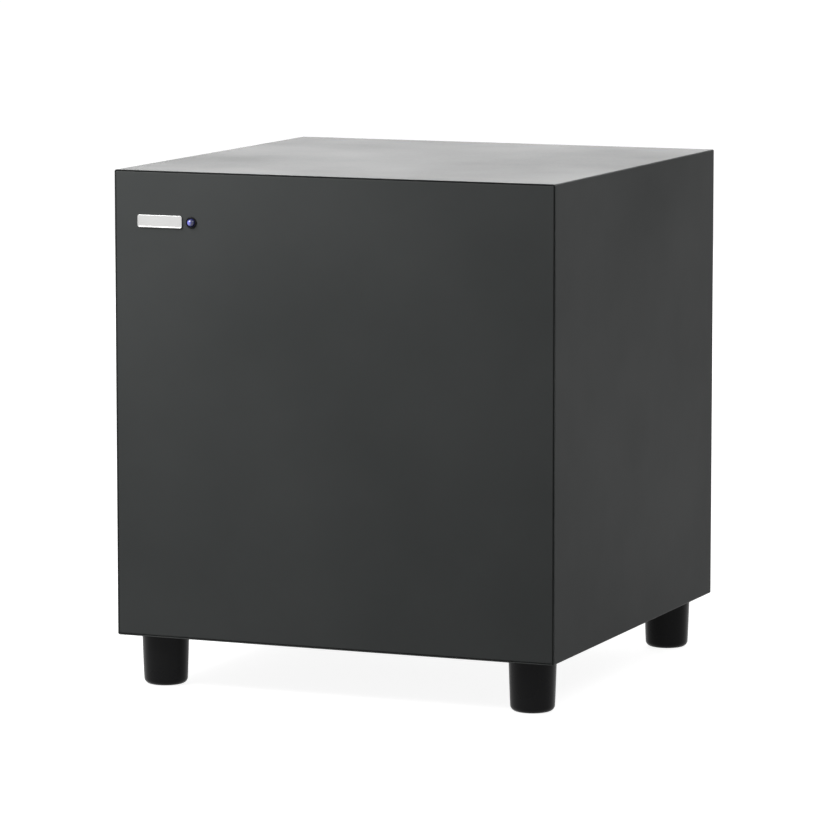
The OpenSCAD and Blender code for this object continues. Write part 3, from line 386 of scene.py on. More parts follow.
def red_plastic():
    return finish_surface("red_plastic", (0.42, 0.02, 0.018), (0.36, 0.016, 0.014), 0.33,
                          fine=2200.0, relief=0.000004, mottle=60.0, worn=(0.5, 0.1, 0.09),
                          wear=0.4, dusty=0.02)


def white_plastic():
    return finish_surface("white_plastic", (0.78, 0.77, 0.74), (0.7, 0.69, 0.66), 0.35,
                          fine=2200.0, relief=0.000004, mottle=60.0, dusty=0.02)


def white_print():
    return finish_surface("white_print", (0.72, 0.72, 0.7), (0.6, 0.6, 0.58), 0.5, fine=2600.0,
                          relief=0.000006, mottle=300.0, dusty=0.02)


def badge_metal():
    return finish_surface("badge_metal", (0.56, 0.56, 0.555), (0.48, 0.48, 0.475), 0.38,
                          fine=1600.0, relief=0.000005, mottle=60.0, worn=(0.9, 0.9, 0.89),
                          wear=0.6,
                          edge=0.0003, dusty=0.02, metal=0.9, lines=True)


def lamp_lens():
    paint, tree, shader, place = start_material("lamp_lens")
    texture = use_group(tree, grain, Vector=place, Scale=900.0, Mottle=500.0)
    tint = blend_colour(tree, texture["Mottling"], (0.012, 0.013, 0.06), (0.018, 0.02, 0.08))
    tree.links.new(tint, shader.inputs["Base Color"])
    centre = middle("status_lamp")
    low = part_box("status_lamp")[0]
    shifted = node_in(tree, "ShaderNodeVectorMath", {"operation": "DISTANCE"})
    tree.links.new(place, shifted.inputs[0])
    shifted.inputs[1].default_value = (centre.x - 0.9 * MM, low.y + 0.6 * MM, centre.z)
    core = stretch(tree, shifted.outputs["Value"], 0.0007, 0.0020, 1.0, 0.0)
    glow = blend_colour(tree, core, (0.003, 0.003, 0.02), (0.24, 0.25, 0.95))
    tree.links.new(glow, shader.inputs["Emission Color"])
    shader.inputs["Emission Strength"].default_value = 0.75
    rough = stretch(tree, texture["Mottling"], 0.0, 1.0, 0.08, 0.14)
    tree.links.new(rough, shader.inputs["Roughness"])
    bump = node_in(tree, "ShaderNodeBump", Strength=1.0, Distance=0.000004,
                   Height=texture["Height"])
    tree.links.new(bump.outputs["Normal"], shader.inputs["Normal"])
    shader.inputs["Coat Weight"].default_value = 0.6
    return paint


def zinc_screw():
    return finish_surface("zinc_screw", (0.62, 0.61, 0.57), (0.52, 0.51, 0.48), 0.34, fine=1800.0,
                          relief=0.000006, mottle=220.0, worn=(0.75, 0.74, 0.7), wear=0.6,
                          metal=1.0, dusty=0.02)


def black_screw():
    return finish_surface("black_screw", (0.018, 0.018, 0.019), (0.028, 0.028, 0.03), 0.38,
                          fine=2000.0, relief=0.000006, mottle=220.0, worn=(0.3, 0.3, 0.29),
                          wear=0.5, metal=0.6, dusty=0.02)


def basket_paint():
    return finish_surface("basket_paint", (0.014, 0.014, 0.0145), (0.02, 0.02, 0.021), 0.5,
                          fine=1300.0, relief=0.00003, mottle=30.0, worn=(0.16, 0.16, 0.155),
                          wear=0.5, dusty=0.05)


def plate_paint():
    return finish_surface("plate_paint", (0.019, 0.019, 0.02), (0.025, 0.025, 0.026), 0.48,
                          fine=1500.0, relief=0.00003, mottle=26.0, worn=(0.2, 0.2, 0.195),
                          wear=0.5, dusty=0.04)


def foam():
    return finish_surface("foam", (0.012, 0.012, 0.012), (0.02, 0.02, 0.02), 0.92, fine=1100.0,
                          relief=0.00012, mottle=60.0, wear=0.2, dusty=0.06, gloss=0.2)


def rubber():
    return finish_surface("rubber", (0.017, 0.017, 0.018), (0.024, 0.024, 0.025), 0.52,
                          fine=1700.0, relief=0.00001, mottle=40.0, worn=(0.05, 0.05, 0.05),
                          wear=0.2, dusty=0.12, gloss=0.35)


def cone_paper():
    """Coated pulp: short fibres, and rings round the driver's axis."""
    paint, tree, shader, place = start_material("cone_paper")
    texture = use_group(tree, grain, Vector=place, Scale=800.0, Mottle=50.0)
    shade = blend_colour(tree, texture["Mottling"], (0.02, 0.02, 0.021), (0.032, 0.032, 0.034))
    shade = blend_colour(tree, number(tree, "MULTIPLY", texture["Specks"], 0.35), shade,
                         (0.09, 0.09, 0.088))
    dusted = use_group(tree, dust, Vector=place, Color=shade, Amount=0.1)
    tree.links.new(dusted["Color"], shader.inputs["Base Color"])
    rough = stretch(tree, texture["Mottling"], 0.0, 1.0, 0.6, 0.72)
    tree.links.new(rough, shader.inputs["Roughness"])
    axis = middle("cone")
    radius = node_in(tree, "ShaderNodeVectorMath", {"operation": "DISTANCE"})
    flat = node_in(tree, "ShaderNodeVectorMath", {"operation": "MULTIPLY"})
    tree.links.new(place, flat.inputs[0])
    flat.inputs[1].default_value = (1, 1, 0)
    tree.links.new(flat.outputs[0], radius.inputs[0])
    radius.inputs[1].default_value = (axis.x, axis.y, 0)
    rings = number(tree, "SINE", number(tree, "MULTIPLY", radius.outputs["Value"], 4200.0))
    height = number(tree, "ADD", texture["Height"], number(tree, "MULTIPLY", rings, 0.12))
    bump = node_in(tree, "ShaderNodeBump", Strength=1.0, Distance=0.00007, Height=height)
    tree.links.new(bump.outputs["Normal"], shader.inputs["Normal"])
    return paint


def cloth(name, thread, shadow, pitch, relief):
    """Woven or fibrous material: threads with darker gaps between them."""
    paint, tree, shader, place = start_material(name)
    threads = use_group(tree, weave, Vector=place, Pitch=pitch)
    texture = use_group(tree, grain, Vector=place, Scale=1400.0, Mottle=60.0)
    shade = blend_colour(tree, number(tree, "MULTIPLY", texture["Mottling"], 0.4), thread,
                         tuple(c * 0.7 for c in thread))
    shade = blend_colour(tree, threads["Gap"], shade, shadow)
    tree.links.new(shade, shader.inputs["Base Color"])
    rough = stretch(tree, texture["Mottling"], 0.0, 1.0, 0.78, 0.9)
    tree.links.new(rough, shader.inputs["Roughness"])
    height = number(tree, "ADD", threads["Height"],
                    number(tree, "MULTIPLY", texture["Height"], 0.4))
    bump = node_in(tree, "ShaderNodeBump", Strength=1.0, Distance=relief, Height=height)
    tree.links.new(bump.outputs["Normal"], shader.inputs["Normal"])
    return paint


def spider_cloth():
    return cloth("spider_cloth", (0.58, 0.4, 0.16), (0.2, 0.12, 0.04), 0.0007, 0.0001)


def wadding():
    return finish_surface("wadding", (0.8, 0.8, 0.77), (0.6, 0.6, 0.57), 0.95, fine=260.0,
                          relief=0.0009, mottle=40.0, wear=0.0, dusty=0.0, gloss=0.1)


def former_card():
    return finish_surface("former_card", (0.5, 0.4, 0.22), (0.42, 0.33, 0.17), 0.5, fine=1200.0,
                          relief=0.00001, mottle=60.0)


def copper_wire():
    return finish_surface("copper_wire", (0.72, 0.36, 0.18), (0.6, 0.28, 0.13), 0.3, fine=2600.0,
                          relief=0.00003, mottle=200.0, metal=0.9, lines=True)


def plated_steel():
    return finish_surface("plated_steel", (0.56, 0.56, 0.56), (0.46, 0.46, 0.47), 0.36,
                          fine=900.0, relief=0.000008, mottle=30.0, worn=(0.7, 0.7, 0.7),
                          wear=0.4, metal=1.0)


def ferrite():
    return finish_surface("ferrite", (0.045, 0.045, 0.048), (0.06, 0.06, 0.064), 0.62, fine=1000.0,
                          relief=0.00002, mottle=60.0, worn=(0.12, 0.12, 0.12), wear=0.6)


def brown_board():
    return finish_surface("brown_board", (0.2, 0.1, 0.035), (0.15, 0.07, 0.02), 0.55, fine=900.0,
                          relief=0.00001, mottle=80.0)


def port_card():
    return finish_surface("port_card", (0.025, 0.025, 0.025), (0.035, 0.035, 0.034), 0.8,
                          fine=700.0, relief=0.00003, mottle=50.0, dusty=0.05)


def circuit_board():
    """Green lacquer over paler copper tracks."""
    paint, tree, shader, place = start_material("circuit_board")
    texture = use_group(tree, grain, Vector=place, Scale=1200.0, Mottle=50.0)
    tracks = node_in(tree, "ShaderNodeTexBrick", Vector=place, Scale=160.0, Mortar_Size=0.08,
                     Color1=(1, 1, 1, 1), Color2=(0.6, 0.6, 0.6, 1), Mortar=(0, 0, 0, 1))
    shade = blend_colour(tree, texture["Mottling"], (0.02, 0.15, 0.06), (0.015, 0.12, 0.045))
    shade = blend_colour(tree, number(tree, "MULTIPLY", tracks.outputs["Color"], 0.4), shade,
                         (0.06, 0.28, 0.1))
    tree.links.new(shade, shader.inputs["Base Color"])
    rough = stretch(tree, texture["Mottling"], 0.0, 1.0, 0.3, 0.42)
    tree.links.new(rough, shader.inputs["Roughness"])
    bump = node_in(tree, "ShaderNodeBump", Strength=1.0, Distance=0.00004,
                   Height=tracks.outputs["Color"])
    tree.links.new(bump.outputs["Normal"], shader.inputs["Normal"])
    return paint


def heatsink_metal():
    return finish_surface("heatsink_metal", (0.68, 0.69, 0.7), (0.6, 0.61, 0.62), 0.4, fine=800.0,
                          relief=0.00001, mottle=40.0, worn=(0.8, 0.8, 0.8), metal=1.0, lines=True)


def component_black():
    return finish_surface("component_black", (0.02, 0.02, 0.022), (0.028, 0.028, 0.03), 0.45,
                          fine=1600.0, relief=0.00001, mottle=70.0, wear=0.3)


def winding_tape():
    return finish_surface("winding_tape", (0.55, 0.4, 0.08), (0.47, 0.33, 0.06), 0.28, fine=300.0,
                          relief=0.00006, mottle=90.0, coat=0.3)


def control_metal():
    return finish_surface("control_metal", (0.6, 0.59, 0.56), (0.5, 0.49, 0.47), 0.32, fine=1500.0,
                          relief=0.000006, mottle=100.0, metal=1.0)


def socket_metal():
    return finish_surface("socket_metal", (0.74, 0.71, 0.64), (0.66, 0.63, 0.56), 0.2, fine=1800.0,
                          relief=0.000004, mottle=120.0, worn=(0.85, 0.83, 0.78), metal=1.0)


def lead_cover():
    return finish_surface("lead_cover", (0.1, 0.02, 0.02), (0.07, 0.015, 0.015), 0.42, fine=1400.0,
                          relief=0.000006, mottle=90.0)


paints = {made.name: made for made in (
    vinyl_wrap(), black_plastic(), red_plastic(), white_plastic(), white_print(), badge_metal(),
    lamp_lens(), zinc_screw(), black_screw(), basket_paint(), plate_paint(), foam(), rubber(),
    cone_paper(), spider_cloth(), wadding(), former_card(), copper_wire(), plated_steel(),
    ferrite(), brown_board(), port_card(), circuit_board(), heatsink_metal(), component_black(),
    winding_tape(), control_metal(), socket_metal(), lead_cover())}
paints["badge"] = paints["badge_metal"]

for name, solid in nodes.items():
    solid.data.materials.append(paints[slot_of[name]])

# Modelling helpers: a piece starts as a primitive or as a copy of a CAD node's mesh, and ends with its place
# in its mesh


def pick_nothing():
    bpy.ops.object.select_all(action="DESELECT")


def pick(piece):
    pick_nothing()
    piece.select_set(True)
    bpy.context.view_layer.objects.active = piece


def spot(node):
    return middle(node) / MM


def modify(piece, kind, **settings):
    pick(piece)
    made = piece.modifiers.new(kind.lower(), kind)
    for name, value in settings.items():
        setattr(made, name, value)
    bpy.ops.object.modifier_apply(modifier=made.name)


def round_edges(piece, radius, segments=3, angle=35):
    modify(piece, "BEVEL", width=radius * MM, segments=segments, limit_method="ANGLE",
           angle_limit=math.radians(angle), use_clamp_overlap=True)


def settle(piece, name, paint, body, stands_for=(), smooth=32):
    """Names a finished piece, puts its place in its mesh, and gives it its finish and body."""
    piece.name = name
    piece.data.name = name
    pick(piece)
    bpy.ops.object.transform_apply(location=True, rotation=True, scale=True)
    bpy.ops.object.shade_smooth_by_angle(angle=math.radians(smooth))
    if body:
        modify(piece, "WEIGHTED_NORMAL", keep_sharp=True)
    if not piece.data.materials:
        piece.data.materials.append(paints[paint])
    if body:
        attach(piece, body)
    if stands_for:
        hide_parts(*stands_for)
    return piece


def choose(items, kind, wanted):
    """Leaves edit mode with only the wanted faces or edges of the active piece selected."""
    bpy.ops.object.mode_set(mode="EDIT")
    bpy.ops.mesh.select_all(action="DESELECT")
    bpy.ops.mesh.select_mode(type=kind)
    bpy.ops.object.mode_set(mode="OBJECT")
    for item in items:
        item.select = wanted(item)
    bpy.ops.object.mode_set(mode="EDIT")


def join(pieces):
    pick_nothing()
    for piece in pieces:
        piece.select_set(True)
    bpy.context.view_layer.objects.active = pieces[0]
    bpy.ops.object.join()
    return bpy.context.object


def copy_of(piece):
    made = piece.copy()
    made.data = piece.data.copy()
    bpy.context.scene.collection.objects.link(made)
    return made


def block(low, high):
    """A box between two corners, in millimetres."""
    pick_nothing()
    low, high = Vector(low), Vector(high)
    bpy.ops.mesh.primitive_cube_add(size=1, location=(low + high) / 2 * MM)
    piece = bpy.context.object
    piece.scale = (high - low) * MM
    bpy.ops.object.transform_apply(location=True, rotation=True, scale=True)
    return piece


def lathe(profile, centre, axis="Z", steps=96, closed=True):
    """A turned piece: one point is extruded along the profile, which is then spun. Millimetres."""
    pick_nothing()
    along = Vector((0, 0, 1)) if axis == "Z" else Vector((0, 1, 0))
    centre = Vector(centre) * MM

    def place(point):
        return centre + (Vector((1, 0, 0)) * point[0] + along * point[1]) * MM

    bpy.ops.mesh.primitive_plane_add(size=0.001, location=place(profile[0]))
    piece = bpy.context.object
    bpy.ops.object.transform_apply(location=True, rotation=True, scale=True)
    bpy.ops.object.mode_set(mode="EDIT")
    bpy.ops.mesh.select_mode(type="VERT")
    bpy.ops.mesh.select_all(action="SELECT")
    bpy.ops.mesh.merge(type="CENTER")
    here = place(profile[0])
    for point in list(profile[1:]) + ([profile[0]] if closed else []):
        bpy.ops.mesh.extrude_region_move(
            TRANSFORM_OT_translate={"value": place(point) - here})
        here = place(point)
    bpy.ops.mesh.select_all(action="SELECT")
    bpy.ops.mesh.remove_doubles(threshold=1e-7)
    bpy.ops.mesh.spin(steps=steps, angle=math.tau, center=centre, axis=along)
    bpy.ops.mesh.select_all(action="SELECT")
    bpy.ops.mesh.remove_doubles(threshold=1e-7)
    bpy.ops.mesh.normals_make_consistent(inside=False)
    bpy.ops.object.mode_set(mode="OBJECT")
    return piece


def arc(x, y, radius, start, end, steps):
    """Points of an arc, its angles in degrees."""
    turn = [math.radians(start + (end - start) * k / steps) for k in range(steps + 1)]
    return [(x + radius * math.cos(a), y + radius * math.sin(a)) for a in turn]


def softened(node, radius=0.35, segments=3):
    """A clean copy of a CAD node's mesh, with its sharp edges rounded."""
    made = copy_of(nodes[node])
    made.parent = None
    for key in list(made.keys()):
        del made[key]
    made.data.materials.clear()
    pick(made)
    bpy.ops.object.mode_set(mode="EDIT")
    bpy.ops.mesh.select_all(action="SELECT")
    bpy.ops.mesh.remove_doubles(threshold=1e-6)
    bpy.ops.mesh.dissolve_limited(angle_limit=math.radians(0.6))
    bpy.ops.object.mode_set(mode="OBJECT")
    if radius:
        round_edges(made, radius, segments, angle=40)
    return made


def cut(piece, cutter):
    modify(piece, "BOOLEAN", operation="DIFFERENCE", solver="EXACT", object=cutter)
    bpy.data.objects.remove(cutter)


def pole(centre, radius, low, high, axis="Z"):
    """A round cutter between two heights along its axis, in millimetres."""
    pick_nothing()
    along = Vector((0, 0, 1)) if axis == "Z" else Vector((0, 1, 0))
    place = Vector(centre) + along * (low + high) / 2
    bpy.ops.mesh.primitive_cylinder_add(
        vertices=64, radius=radius * MM, depth=(high - low) * MM, location=place * MM,
        rotation=(0, 0, 0) if axis == "Z" else (math.pi / 2, 0, 0))
    bpy.ops.object.transform_apply(location=True, rotation=True, scale=True)
    return bpy.context.object


def radial_blend(piece, axis, inner, outer):
    """A ring that's held at its outer radius and follows the cone at its inner one."""
    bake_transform(piece, "cabinet", "cone_assembly", start=(outer * MM, 0, 0), end=(inner * MM, 0, 0))
    weights = piece.data.attributes["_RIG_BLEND"].data
    for vertex, weight in zip(piece.data.vertices, weights):
        out = math.hypot(vertex.co.x - axis.x * MM, vertex.co.y - axis.y * MM) / MM
        share = min(1, max(0, (outer - out) / (outer - inner)))
        weight.value = share * share * (3 - 2 * share)


# Front board, feet, badge and lamp


def front_board():
    low, high = (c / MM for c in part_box("front_panel"))
    centre = (low + high) / 2
    seam = 1.7
    half = (high.x - low.x) / 2
    piece = block(low, (high.x, low.y + seam, high.z))
    choose(piece.data.polygons, "FACE", lambda face: face.normal.y > 0.9)
    size = half
    for step, wanted in ((0, half - seam), (0, half + 1 - seam), (15.99 - seam, half - 15)):
        bpy.ops.mesh.extrude_region_move(
            TRANSFORM_OT_translate={"value": (0, max(step, 0.01) * MM, 0)})
        bpy.ops.transform.resize(value=(wanted / size, 1, wanted / size),
                                 center_override=(centre.x * MM, low.y * MM, centre.z * MM))
        size = wanted
    bpy.ops.object.mode_set(mode="OBJECT")
    lamp = spot("lamp_bezel")
    lamp_hole, past = 3.0, 2
    cut(piece, pole((lamp.x, 0, lamp.z), lamp_hole, low.y - past, high.y + past, "Y"))
    round_edges(piece, 0.45, 3, angle=40)
    settle(piece, "front_board", "vinyl_wrap", "cabinet", ["front_panel"])


def foot(node):
    low, high = (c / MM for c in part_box(node))
    centre = (low + high) / 2
    tall = high.z - low.z
    outline = [(2.4, 0), (14.0, 0)] + arc(13.9, -0.3, 0.3, 60, 0, 3)
    outline += [(13.95, -8), (13.7, -16), (13.45, -23)]
    outline += arc(9.7, 3.5 - tall, 3.5, 0, -90, 9)
    outline += arc(7.3, 0.8 - tall, 0.8, -90, -180, 4)
    outline += [(6.45, -6.6), (6.1, -6.0), (2.4, -6.0)]
    piece = lathe(outline, (centre.x, centre.y, high.z), steps=112)
    settle(piece, node + "_moulding", "black_plastic", "cabinet", [node])


def badge():
    low, high = (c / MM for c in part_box("badge_plate"))
    piece = block(low, high)
    points = piece.data.vertices

    def runs_back(edge):
        ends = [points[k].co for k in edge.vertices]
        return abs(ends[0].y - ends[1].y) > 0.5 * MM

    choose(piece.data.edges, "EDGE", runs_back)
    bpy.ops.mesh.bevel(offset=1.2 * MM, segments=8, affect="EDGES")
    bpy.ops.object.mode_set(mode="OBJECT")
    choose(piece.data.polygons, "FACE", lambda face: face.normal.y < -0.9)
    bpy.ops.mesh.inset(thickness=0.5 * MM, depth=0)
    bpy.ops.mesh.inset(thickness=0.12 * MM, depth=-0.12 * MM)
    bpy.ops.object.mode_set(mode="OBJECT")
    round_edges(piece, 0.1, 3, angle=40)
    settle(piece, "front_badge", "badge_metal", "cabinet", ["badge_plate"])


def lamp():
    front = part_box("front_panel")[0].y / MM
    place = spot("lamp_bezel")
    ring = lathe([(2.5, 0.2)] + arc(2.75, -0.55, 0.25, 180, 270, 3) + arc(3.0, -0.4, 0.4, -90, 0, 4)
                 + [(3.4, 0), (2.9, 0), (2.9, 8), (2.5, 8)], (place.x, front, place.z), "Y", 64)
    settle(ring, "lamp_ring", "black_plastic", "cabinet", ["lamp_bezel"])
    dome = arc(0, -0.2, 2.4, -90, 0, 12)
    lens = lathe(dome + [(2.4, 8), (2.8, 8), (2.8, 9), (0, 9)], (place.x, front, place.z), "Y",
                 48, closed=False)
    legs = []
    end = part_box("status_lamp")[1].y / MM
    for side in (-1, 1):
        x = place.x + side * 1.27
        legs.append(block((x - 0.25, front + 9, place.z - 0.25), (x + 0.25, end, place.z + 0.25)))
        round_edges(legs[-1], 0.08, 1)
    lens.data.materials.append(paints["lamp_lens"])
    for leg in legs:
        leg.data.materials.append(paints["control_metal"])
    settle(join([lens] + legs), "lamp_and_legs", "lamp_lens", "cabinet", ["status_lamp"])


# Screws


def pan_head(shank, length, head, tall):
    """One screw at the origin, its head up, with a cross recess."""
    sphere = head * 1.5
    crown = math.degrees(math.asin((head - 0.1) / sphere))
    top = arc(0, tall - sphere, sphere, 90, 90 - crown, 7)
    outline = top + [(head, top[-1][1] - 0.3), (head - 0.15, 0), (shank, 0)]
    pitch = 0.9
    turns = int((length - 2) / pitch)
    for k in range(turns):
        down = -0.8 - k * pitch
        outline += [(shank - 0.35, down), (shank - 0.05, down - pitch / 2)]
    outline += [(shank - 0.3, -length + 0.8), (0, -length)]
    screw = lathe(outline, (0, 0, 0), steps=28, closed=False)
    for turn in (0, 90):
        slot = block((-head * 0.55, -head * 0.1, tall * 0.4), (head * 0.55, head * 0.1, tall + 1))
        slot.rotation_euler.z = math.radians(turn)
        pick(slot)
        bpy.ops.object.transform_apply(rotation=True)
        cut(screw, slot)
    round_edges(screw, 0.06, 1, angle=50)
    return screw


def set_screws(name, paint, screw, places, turned, node):
    """Copies of one screw at its places, each with its recess at another angle."""
    set_of = []
    for k, place in enumerate(places):
        one = copy_of(screw)
        pick(one)
        one.rotation_euler.z = math.radians(37 * k % 90)
        bpy.ops.object.transform_apply(rotation=True)
        one.rotation_euler = turned
        one.location = Vector(place) * MM
        bpy.ops.object.transform_apply(location=True, rotation=True)
        set_of.append(one)
    bpy.data.objects.remove(screw)
    settle(join(set_of), name, paint, "cabinet", [node])


def all_screws():
    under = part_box("bottom_panel")[0].z / MM
    feet = [spot(f"{a}_{b}_foot") for a in ("front", "rear") for b in ("left", "right")]
    set_screws("foot_screw_set", "zinc_screw", pan_head(2, 18, 4.2, 2.6),
               [(f.x, f.y, under - 6) for f in feet], (math.pi, 0, 0), "foot_screws")
    axis = spot("basket")
    circle = 98
    ring = [math.radians(22.5 + 45 * k) for k in range(8)]
    set_screws("driver_screw_set", "black_screw", pan_head(2, 11, 3.8, 2.4),
               [(axis.x + circle * math.cos(a), axis.y + circle * math.sin(a), under + 3)
                for a in ring],
               (math.pi, 0, 0), "driver_screws")
    low, high = (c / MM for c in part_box("amp_plate"))
    mid = (low + high) / 2
    inset = 5
    wide, tall = (high.x - low.x) / 2 - inset, (high.z - low.z) / 2 - inset
    places = [(mid.x + side * wide, high.y, mid.z + k * tall)
              for side in (-1, 1) for k in (-1, -1 / 3, 1 / 3, 1)]
    places += [(mid.x, high.y, mid.z + side * tall) for side in (-1, 1)]
    set_screws("amp_screw_set", "black_screw", pan_head(1.75, 15, 3.5, 2.2), places,
               (-math.pi / 2, 0, 0), "amp_screws")


# Driver


def driver_parts():
    axis = spot("basket")
    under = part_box("bottom_panel")[0].z / MM
    base = (axis.x, axis.y, under)

    roll_mid, roll = 81.8, 7.4
    outer_half = arc(roll_mid, 3.0, roll, 180, 360, 32)
    inner_half = arc(roll_mid, 3.0, roll - 0.8, 360, 180, 32)
    edge = [(88.4, 3.0), (93.7, 3.0), (93.7, 2.4), (89.2, 2.4)]
    lip = [(74.4, 2.4), (70.6, 2.4), (70.4, 2.6), (70.4, 3.0), (75.2, 3.0)]
    under_side = [p for p in outer_half if p[1] < 2.4]
    ring = lathe(lip[::-1] + under_side + edge[::-1] + [p for p in inner_half if p[1] < 2.95],
                 base, steps=144)
    round_edges(ring, 0.12, 2, angle=50)
    settle(ring, "surround_roll", "rubber", None, ["surround"], smooth=50)
    radial_blend(ring, axis, 75.0, 88.6)

    trim = lathe([(89.6, 0.2), (89.9, 0), (93.4, 0), (94.0, 0.7), (94.0, 2.3), (89.6, 2.3)],
                 base, steps=144)
    round_edges(trim, 0.2, 3, angle=25)
    settle(trim, "trim_ring_foam", "foam", "cabinet", ["trim_ring"])

    low, high = (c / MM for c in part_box("cone"))
    neck, rim, rise = 19.5, 75.0, high.z - low.z - 0.9
    wall = []
    for k in range(65):
        out = rim + (neck - rim) * k / 64
        t = (rim - out) / (rim - neck)
        rib = sum(0.28 * math.exp(-((out - at) / 1.1) ** 2) for at in (67, 60, 53, 46))
        wall.append((out, low.z - under + rise * (0.8 * t + 0.2 * t * t) + rib))
    pulp = lathe(wall + [(out, up + 0.85) for out, up in wall[::-1]], base, steps=144)
    settle(pulp, "cone_pulp", "cone_paper", "cone_assembly", ["cone"], smooth=50)

    cap_low, cap_high = (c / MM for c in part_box("dust_cap"))
    bottom, top = cap_low.z - under, cap_high.z - under
    edge_r = (cap_high.x - cap_low.x) / 2
    sphere = (edge_r ** 2 + (top - bottom) ** 2) / (2 * (top - bottom))
    open_angle = math.degrees(math.asin(edge_r / sphere))
    outside = arc(0, bottom + sphere, sphere, -90, -90 + open_angle - 2.2, 28)
    bead = arc(edge_r - 0.75, top - 0.7, 0.7, -70, 60, 6)
    inside = arc(0, bottom + sphere, sphere - 0.7, -90 + open_angle - 2.2, -90, 28)
    cap = lathe(outside + bead + inside, base, steps=120, closed=False)
    settle(cap, "dust_cap_dome", "cone_paper", "cone_assembly", ["dust_cap"], smooth=50)

    low, high = (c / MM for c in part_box("spider"))
    shelf = high.z - under
    rolls = []
    neck, rim, flat_from = 19.7, 53.9, 46
    for k in range(121):
        out = neck + (rim - neck) * k / 120
        t = min(1, max(0, (out - neck - 2) / (flat_from - neck)))
        rolls.append((out, shelf - 0.65 - 0.85 + 0.8 * math.cos(math.tau * 5 * t)))
    disc = lathe(rolls + [(out, up + 0.6) for out, up in rolls[::-1]], base, steps=96)
    settle(disc, "spider_disc", "spider_cloth", None, ["spider"], smooth=60)
    radial_blend(disc, axis, 21.5, 46.0)


def tinsel():
    """Braided leads, which follow the cone at their inner ends."""
    axis = spot("basket")
    braid = softened("tinsel_leads", 0)
    modify(braid, "SUBSURF", levels=1, render_levels=1)
    settle(braid, "tinsel_braid", "copper_wire", None, ["tinsel_leads"], smooth=60)
    radial_blend(braid, axis, 40.0, 60.0)


# Port


def port():
    low, high = (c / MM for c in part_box("port_flare"))
    centre = (low + high) / 2
    back = high.y - 3
    mouth = arc(39, -8, 11, 180, 90, 28)
    outline = [(28, -40)] + mouth + arc(40.8, 1.8, 1.2, 90, 0, 5) + [(42, 0), (32.7, 0), (32.7, -8)]
    outline += [(30.4, -8), (30.4, -39.4), (29.6, -40)]
    flare = lathe(outline, (centre.x, back, centre.z), "Y", 144)
    settle(flare, "port_flare_moulding", "black_plastic", "cabinet", ["port_flare"], smooth=40)
    low, high = (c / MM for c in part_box("port_tube"))
    tube = lathe([(30.5, 0), (32.9, 0), (32.9, high.y - low.y), (30.5, high.y - low.y)],
                 (centre.x, low.y, centre.z), "Y", 120)
    round_edges(tube, 0.3, 2)
    settle(tube, "port_tube_card", "port_card", "cabinet", ["port_tube"])


# Plate amplifier


def plate():
    panel = softened("amp_plate", 0.5, 3)
    settle(panel, "amp_plate_sheet", "plate_paint", "cabinet", ["amp_plate"])
    gasket = softened("amp_gasket", 0.3, 2)
    settle(gasket, "amp_gasket_foam", "foam", "cabinet", ["amp_gasket"])


def printed_marks():
    """Plain scale marks round the knobs and beside the switches, without any lettering."""
    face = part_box("amp_plate")[1].y / MM
    marks = []
    for control in ("volume_knob", "crossover_knob"):
        centre = spot(control)
        for k in range(11):
            long = 2.6 if k % 5 == 0 else 1.6
            mark = block((-0.2, 0, 10.8), (0.2, 0.05, 10.8 + long))
            mark.rotation_euler.y = math.radians(-150 + 30 * k)
            mark.location = (centre.x * MM, (face - 0.01) * MM, centre.z * MM)
            pick(mark)
            bpy.ops.object.transform_apply(location=True, rotation=True)
            marks.append(mark)
    for switch in ("phase_switch", "mode_switch"):
        centre = spot(switch)
        for side in (-1, 1):
            x = centre.x + side * 2
            marks.append(block((x - 0.2, face - 0.01, centre.z - 6.6),
                               (x + 0.2, face + 0.04, centre.z - 4.4)))
    sockets = spot("line_sockets")
    for side in (-1, 1):
        x = sockets.x + side * 7.5
        marks.append(block((x - 3, face - 0.01, sockets.z - 9.6),
                           (x + 3, face + 0.04, sockets.z - 9.2)))
    ink = join(marks)
    round_edges(ink, 0.02, 1)
    settle(ink, "plate_marks", "white_print", "cabinet")


def knob(node, body, name):
    low, high = (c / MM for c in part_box(node))
    centre = (low + high) / 2
    tall = 14.0
    start = high.y - tall
    outline = [(3.2, 2.6), (6.0, 2.6), (6.0, 0.2), (6.2, 0), (8.7, 0)]
    outline += arc(8.7, 0.3, 0.3, -90, 0, 3)
    outline += [(9.0, 2.4), (8.7, 2.9), (8.45, 3.2), (8.4, 12.9)] + arc(7.6, 13.2, 0.8, 0, 90, 5)
    outline += [(6.6, 14.0), (6.3, 13.7), (0, 13.6)]
    cap = lathe(outline, (centre.x, start, centre.z), "Y", 72, closed=False)

    def in_rib(face):
        flat = Vector((face.center.x / MM - centre.x, face.center.z / MM - centre.z))
        up = face.center.y / MM - start
        turn = math.degrees(math.atan2(flat.x, flat.y)) % 360
        on_side = flat.length > 8.2 and 3.4 < up < 12.8 and face.normal.xz.length > 0.9
        return on_side and int(turn / 5) % 4 in (1, 2)

    pick(cap)
    choose(cap.data.polygons, "FACE", in_rib)
    bpy.ops.mesh.inset(thickness=0.15 * MM, depth=-0.4 * MM)
    bpy.ops.object.mode_set(mode="OBJECT")
    end = start + 2.7 - low.y
    spindle = lathe([(0, 0), (2.7, 0), (3.0, 0.3), (3.0, end), (0, end)],
                    (centre.x, low.y, centre.z), "Y", 40, closed=False)
    pointer = block((centre.x - 0.45, high.y - 0.35, centre.z + 2.4),
                    (centre.x + 0.45, high.y - 0.02, centre.z + 8.0))
    round_edges(pointer, 0.1, 2)
    cap.data.materials.append(paints["black_plastic"])
    spindle.data.materials.append(paints["control_metal"])
    pointer.data.materials.append(paints["white_print"])
    settle(join([cap, spindle, pointer]), name, "black_plastic", body, [node])


